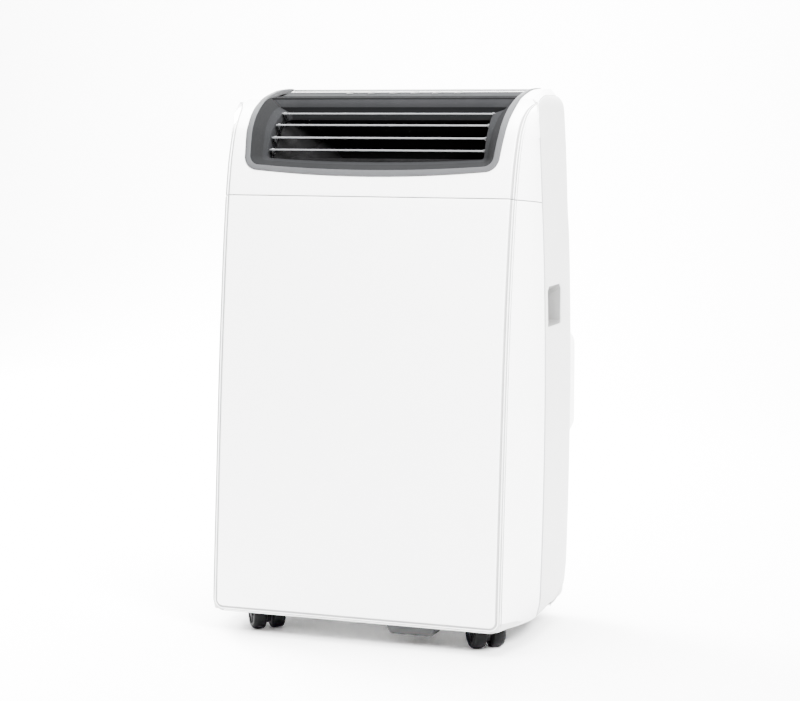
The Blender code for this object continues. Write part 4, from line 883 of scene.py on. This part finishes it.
def buttons():
    """Each key with its mark and a small lamp behind it."""
    for name, x in zip(BUTTON_NAMES, BUTTON_X):
        place = button_frame(x)
        bm = bmesh.new()
        lathe(bm, [(0, -1.6), (5.9, -1.6), (6, -1.4), (6, 0.75), (5.75, 1.1), (5.2, 1.25), (4.2, 1.15), (0, 1)],
              place)
        key = finish_mesh(f"key_{name}", bm, KEY, 40)
        place_piece(key, f"{name}_button", "light_grey_plastic", f"{name}_button")
        bm = bmesh.new()
        for line in mark_lines(name):
            stroke(bm, place @ Matrix.Translation((0, 0, 1.02 * MM)), line)
        place_piece(finish_mesh(f"mark_{name}", bm, MARK), f"{name}_button", "dark_window")
        bm = bmesh.new()
        spot = Matrix.Translation(slope_point(x, 0.86, 0.1)) @ place.to_3x3().to_4x4()
        lathe(bm, [(0, -0.2), (0.9, -0.2), (0.9, 0.12), (0.6, 0.3), (0, 0.36)], spot, 16)
        place_piece(finish_mesh(f"lamp_{name}", bm, LAMP), "housing", "dark_window")


console()
buttons()


# ---- casters
CASTERS = {"front_left": (-150, -87.5), "front_right": (150, -87.5), "rear_left": (-140, 50), "rear_right": (140, 50)}
TURN = math.radians(38.5)
TRAIL, WHEEL_R, GUARD_R = 19, 20, 23.2
WHEEL = [(0, 21.6), (3.2, 21.6), (3.6, 21.2), (3.6, 19.6), (5, 19.2), (10.6, 19.2), (12.4, 19.7), (13.2, 20.8),
         (15, 21.3), (17.3, 20.9), (18.9, 19.6), (19.8, 17.6), (20, 15.5), (20, 9), (19.8, 6.6), (19, 5.2),
         (17.8, 4.4), (16, 4.1), (3.2, 4.1), (3.2, 3.2), (0, 3.2)]


def caster(name, spot):
    """Twin wheels with spokes on a stub axle, and the fork with its mudguard and stem."""
    place = Matrix.Translation(mm(*spot, 0)) @ Matrix.Rotation(TURN, 4, "Z")
    axle = place @ Matrix.Translation(mm(0, -TRAIL, WHEEL_R)) @ Matrix.Rotation(math.radians(90), 4, "Y")
    bm = bmesh.new()
    for side in (-1, 1):
        lathe(bm, [(r, side * w) for r, w in WHEEL], axle, 44)
        for k in range(5):
            spin = Matrix.Rotation(2 * math.pi * k / 5, 4, "Z")
            capped(bm, [[axle @ spin @ mm(r, t, side * w) for r, t in
                         ((3.4, -0.9), (11.2, -0.7), (11.2, 0.7), (3.4, 0.9))] for w in (18.8, 20.1)])
    lathe(bm, [(0, -3.6), (3, -3.6), (3, 3.6), (0, 3.6)], axle, 24)
    wheels = finish_mesh(f"twin_wheels_{name}", bm, TREAD, 34)
    place_piece(wheels, f"caster_wheels_{name}", "caster_tread", f"caster_wheels_{name}")

    bm = bmesh.new()
    web = [(9, 43.5), (10.5, 34), (4.5, 26), *arc(-TRAIL, WHEEL_R, 12.8, 0, -180, 16), (-33, 30), (-31, 36),
           (-24, 40.5), (-12, 43.5)]
    capped(bm, [[place @ mm(x, y, z) for y, z in web] for x in (-2.4, -1.9, 1.9, 2.4)])
    inner_line = arc(-TRAIL, WHEEL_R, 21.6, 18, 152, 22)[::-1]
    rows = []
    for x, shrink in ((-18, 1.4), (-17.2, 0.5), (-15.5, 0), (15.5, 0), (17.2, 0.5), (18, 1.4)):
        outer_line = arc(-TRAIL, WHEEL_R, GUARD_R - shrink * 0.9, 18, 152, 22)
        rows.append([place @ mm(x, y, z) for y, z in outer_line + inner_line])
    capped(bm, rows)
    lathe(bm, [(0, 53.8), (3.6, 53.8), (4, 53.3), (4, 46.4), (14.2, 46.4), (15, 45.8), (15, 41.8), (0, 41.8)],
          place, 36)
    hood = finish_mesh(f"caster_fork_{name}", bm, BLACK, 34)
    place_piece(hood, f"caster_hood_{name}", "black_plastic", f"caster_hood_{name}")


for name, spot in CASTERS.items():
    caster(name, spot)


# ---- back and underside
def rounded_box(low, high, radius, steps):
    (x0, z0), (x1, z1) = low, high
    corners = ((x1 - radius, z1 - radius), (x0 + radius, z1 - radius), (x0 + radius, z0 + radius),
               (x1 - radius, z0 + radius))
    return [p for k, (x, z) in enumerate(corners) for p in arc(x, z, radius, 90 * k, 90 * k + 90, steps)]


def grille(name, low, high, y0, y1, slats, replaced, body, tab=False):
    """Frame with a rounded edge, tilted slats, two uprights and a finger tab on the filter."""
    (x0, z0), (x1, z1) = low, high
    bm = bmesh.new()
    ring_specs = [(0, y0), (0, y1 - 1), (0.5, y1 - 0.2), (1.4, y1), (6.4, y1), (7.4, y1 - 0.6), (8, y1 - 1.6),
                  (8, y0)]
    rings = []
    for inset, y in ring_specs:
        outline = rounded_box((x0 + inset, z0 + inset), (x1 - inset, z1 - inset), max(3 - inset * 0.25, 1), 4)
        rings.append([mm(x, y, z) for x, z in outline])
    tube_ring(bm, rings)
    pitch = (z1 - z0 - 16) / slats
    for i in range(slats):
        z = z0 + 8 + pitch * (i + 0.5)
        section = [(y0 + 0.2, z - 2.6), (y1 - 0.9, z + 0.8), (y1 - 0.5, z + 1.6), (y1 - 0.9, z + 2.4),
                   (y0 + 0.2, z - 0.8)]
        capped(bm, [[mm(x, y, h) for y, h in section] for x in (x0 + 7.5, x1 - 7.5)])
    for x in (x0 + (x1 - x0) / 3, x0 + 2 * (x1 - x0) / 3):
        capped(bm, [[mm(x + dx, y, z) for dx, y in ((-1.2, y0), (1.2, y0), (1.2, y1 - 1.2), (-1.2, y1 - 1.2))]
                    for z in (z0 + 7.5, z1 - 7.5)])
    if tab:
        tab_outline = rounded_box((-12, z1 - 7.2), (12, z1 - 1.6), 2, 4)
        for middle in (-95, 95):
            capped(bm, [[mm(middle + a, y, z) for a, z in tab_outline] for y in (y1 - 0.6, y1 + 1.2, y1 + 1.6)])
    place_piece(finish_mesh(name, bm, WHITE, 34), body, "white_cover", replaced)


grille("filter_grille", (-149.7, 410.3), (149.7, 599.7), 113.5, 121.5, 14, "filter_frame", "filter", True)
grille("condenser_grille", (-149.7, 95.3), (19.7, 324.7), 115.5, 121.5, 17, "lower_grille", "housing")


EXHAUST = (115, 310)
UPPER_PLUG, LOWER_PLUG, GLAND = (-60, 366), (105, 100), (62, 150)


def exhaust_back():
    """Housing that stands out of the back round the exhaust port, its collar with bayonet catches."""
    cx, cz = EXHAUST
    bm = bmesh.new()
    rings = []
    for inset, y in ((0, 84), (0, 118), (0, 143), (0.7, 146.8), (2.2, 149.2), (4.6, 150)):
        outline = rounded_box((cx - 92 + inset, cz - 75 + inset), (cx + 92 - inset, cz + 75 - inset), 25 - inset, 8)
        rings.append([mm(x, y, z) for x, z in outline])
    angles = [math.atan2(p.z - cz * MM, p.x - cx * MM) for p in rings[-1]]
    for radius, y in ((65.2, 150), (63.6, 149.6), (62.9, 148.6), (62.9, 84)):
        rings.append([mm(cx + radius * math.cos(a), y, cz + radius * math.sin(a)) for a in angles])
    tube_ring(bm, rings)
    made = finish_mesh("exhaust_shroud", bm, WHITE, 34)
    cut(made, housing_block())
    place_piece(made, "housing", "white_cover", "exhaust_housing")
    bm = bmesh.new()
    place = facing_back(cx, cz)
    lathe(bm, [(62.4, 105), (62.4, 147.6), (61.9, 148.6), (60.6, 148.6), (60.1, 147.8), (60.1, 105), (62.4, 105)],
          place, 72)
    for k in range(4):
        spin = Matrix.Rotation(math.radians(45 + 90 * k), 4, "Z")
        capped(bm, [[place @ spin @ mm(r * math.cos(a), r * math.sin(a), y) for r, y in
                     ((60.4, 138), (56.6, 139), (56.6, 142), (60.4, 143))]
                    for a in (math.radians(d) for d in (-7, -3.5, 0, 3.5, 7))])
    place_piece(finish_mesh("exhaust_ring", bm, RIM, 34), "housing", "grey_trim", "exhaust_collar")


def housing_block():
    """Cutter with the rear body's plan, 0.35 mm larger than the shell."""
    outline = [plan_point(station, 310, -0.35) for station in shell_outline()]
    right = [(outline[0][0], -60)] + outline
    left = [(-x, y) for x, y in reversed(right) if x > 1e-3]
    return prism("shroud_trim", right + left, "z", 100, 500)


def cup_outline(y0, y1, z0, z1):
    """The finger recess's mouth: small chamfers below, larger ones above."""
    return [(y0 + 2, z0), (y1 - 2, z0), (y1, z0 + 2), (y1, z1 - 6), (y1 - 6, z1), (y0 + 6, z1), (y0, z1 - 6),
            (y0, z0 + 2)]


def shell_openings():
    """Cutters for the filter, grille, four round openings, finger recesses and rear wheel wells."""
    cutters = [prism("cut_filter", rounded_box((-150, 410), (150, 600), 3.2, 4), "y", 90, 140),
               prism("cut_grille", rounded_box((-150, 95), (20, 325), 3.2, 4), "y", 90, 140)]
    for (x, z), r in ((EXHAUST, 66.3), (UPPER_PLUG, 7.8), (LOWER_PLUG, 7.8), (GLAND, 8.4)):
        bm = bmesh.new()
        lathe(bm, [(0, 85), (r, 85), (r, 160), (0, 160)], facing_back(x, z), 48)
        cutters.append(finish_mesh("cut_round", bm, WHITE))
    for low, high in ((-240, -180), (180, 240)):
        cutters.append(prism("cut_handle", cup_outline(-23.2, 38.7, 399.2, 450.8), "x", low, high))
    for name in ("rear_left", "rear_right"):
        bm = bmesh.new()
        lathe(bm, [(0, 0), (45.3, 0), (45.3, 47), (0, 47)], Matrix.Translation(mm(*CASTERS[name], 0)), 64)
        cutters.append(finish_mesh("cut_well", bm, WHITE))
    return cutters


def handle_lining(side):
    """Finger cup: rounded floor, sloping roof, chamfered mouth corners and a rolled lip flush with the flank."""
    rings = []
    for depth, shrink, roof in ((0.2, 0, 0), (1.4, 0.5, 0.2), (10, 0.9, 4.6), (20, 1.6, 9), (25.5, 2.6, 11),
                                (27.3, 5, 12)):
        outline = cup_outline(-22.7 + shrink, 38.2 - shrink, 399.7 + shrink, 450.3 - shrink - roof)
        rings.append([mm(side * (216.4 - depth), y, z) for y, z in outline])
    bm = bmesh.new()
    verts = strip(bm, rings, closed=True)
    bm.faces.new(verts[-1])
    hand = "left" if side < 0 else "right"
    # The cup is drawn in the painted shade of its recess.
    made = finish_mesh(f"finger_cup_{hand}", bm, CUP_PAINTED_SHADE, 40)
    centre = Vector((side * 0.230, 0.008, 0.425))
    if sum((p.center - centre).dot(p.normal) for p in made.data.polygons) > 0:
        made.data.flip_normals()
    add_wall(made, 1.2)
    soften(made, 0.5, 30)
    place_piece(made, "housing", "white_cover", f"handle_cup_{hand}")


def rubber_piece(name, body, replaced, centre, profile):
    """A turned stopper or bush in the back wall."""
    bm = bmesh.new()
    lathe(bm, profile, facing_back(*centre), 36)
    place_piece(finish_mesh(name, bm, RUBBER, 36), body, "rubber", replaced)


def screws():
    """Pan-head screws that hold the shell, seated on its flat back or on the start of its corner."""
    head = [(0, -1.5), (3.6, -1.5), (3.6, 0.35), (3.1, 0.9), (1.9, 1.15), (1.6, 0.4), (0, 0.2)]
    bm = bmesh.new()
    for x, z in ((-165, 640), (165, 640), (-172, 390), (60, 395), (-168, 80), (150, 80), (0, 395)):
        into_corner = max(abs(x) - half_width(z) + CORNER_R, 0)
        base = BACK_Y if abs(x) < 160 else CORNER_Y + math.sqrt(CORNER_R ** 2 - into_corner ** 2)
        lathe(bm, [(r, base + y) for r, y in head], facing_back(x, z), 24)
    place_piece(finish_mesh("back_screws", bm, SCREW, 36), "housing", "sheet_steel")


def sump():
    """Shallow tray under the base, just behind the front edge."""
    bm = bmesh.new()
    rings = []
    for z, inset in ((28.2, 0), (27, 0), (18, 3.2), (14.6, 4.8), (13.3, 6.2), (13, 8)):
        outline = rounded_box((36 + inset, -130 + inset * 0.6), (104 - inset, -92 - inset * 0.6), 4, 5)
        rings.append([mm(x, y, z) for x, y in outline])
    capped(bm, rings)
    # The sump's tray carries painted shade for its place under the base.
    place_piece(finish_mesh("sump_tray", bm, LIGHT_GREY_PAINTED_SHADE, 34), "housing", "light_grey_plastic", "drain_sump")


cut(shell, *shell_openings())
soften(shell, 0.35, 60)
exhaust_back()
for handle_side in (-1, 1):
    handle_lining(handle_side)
PLUG = [(0, 100.6), (5.2, 100.6), (6.9, 102.6), (6.9, 120.9), (10.6, 121.1), (11, 121.6), (11, 126.2),
        (10.2, 127.6), (8.6, 128.4), (7.6, 127.8), (3.2, 127.8), (2.6, 128.4), (0, 128.5)]
BUSH = [(3.5, 112), (7.7, 112), (7.7, 121.1), (9.9, 121.4), (9.9, 126.2), (9.2, 127.4), (8.2, 128.4), (7.9, 129.6),
        (4.4, 129.7), (3.5, 128.8), (3.5, 112)]
rubber_piece("drain_stopper_upper", "upper_drain_plug", "upper_drain_plug", UPPER_PLUG, PLUG)
rubber_piece("drain_stopper_lower", "lower_drain_plug", "lower_drain_plug", LOWER_PLUG, PLUG)
rubber_piece("cord_bush", "housing", "cord_gland", GLAND, BUSH)
screws()
sump()


# ---- stage, light and camera
def studio():
    """Pale floor curving up into a backdrop, a dim world and five soft lamps."""
    bm = bmesh.new()
    profile = [(-3.2, 0), *arc(2.0, 1.6, 1.6, -90, 0, 12), (3.6, 4.5)]
    strip(bm, [[Vector((x, y, z)) for y, z in profile] for x in (-5.0, 5.0)])
    floor_mat = surface("studio_floor", (0.90, 0.90, 0.90), (0.895, 0.895, 0.895), 0.6, bump=0.0, grain=30,
                        mottle=0.8)
    floor = finish_mesh("studio_floor", bm, floor_mat, 60)

    world = bpy.data.worlds.new("studio")
    world.use_nodes = True
    sky = world.node_tree.nodes["Background"].inputs
    sky["Color"].default_value = (0.99, 0.995, 1.0, 1)
    sky["Strength"].default_value = 0.35
    SCENE.world = world

    for name, spot, aim, size, power, spread in (
            ("key", (1.45, -1.20, 1.70), (0.1, -0.1, 0.45), 0.8, 330, 180),
            ("fill", (-2.2, -1.8, 1.5), (0, 0, 0.35), 1.6, 30, 180),
            ("back", (-1.9, 1.0, 1.6), (0.1, 0, 0.1), 1.2, 560, 180),
            ("top", (-0.2, 0.3, 3.0), (-0.2, 0.3, 0.0), 2.6, 360, 110),
            ("backdrop", (-1.3, 1.5, 2.7), (-1.5, 3.7, 1.3), 2.4, 1050, 180)):
        data = bpy.data.lights.new(name, "AREA")
        data.energy = power
        data.size = size
        data.spread = math.radians(spread)
        lamp = bpy.data.objects.new(name, data)
        lamp.location = spot
        lamp.rotation_euler = (Vector(aim) - Vector(spot)).to_track_quat("-Z", "Y").to_euler()
        SCENE.collection.objects.link(lamp)


FOCAL_PIXELS = 2116.0  # focal length over the size of one of the image's 800 columns


def camera():
    data = bpy.data.cameras.new("camera")
    data.sensor_width = 36.0
    data.lens = 36.0 * FOCAL_PIXELS / 800.0
    data.clip_end = 50
    cam = bpy.data.objects.new("camera", data)
    cam.location = (0.9525, -2.5901, 0.6753)
    cam.rotation_euler = (math.radians(90 - 6.54), 0, math.radians(20))
    SCENE.collection.objects.link(cam)
    SCENE.camera = cam


studio()
camera()
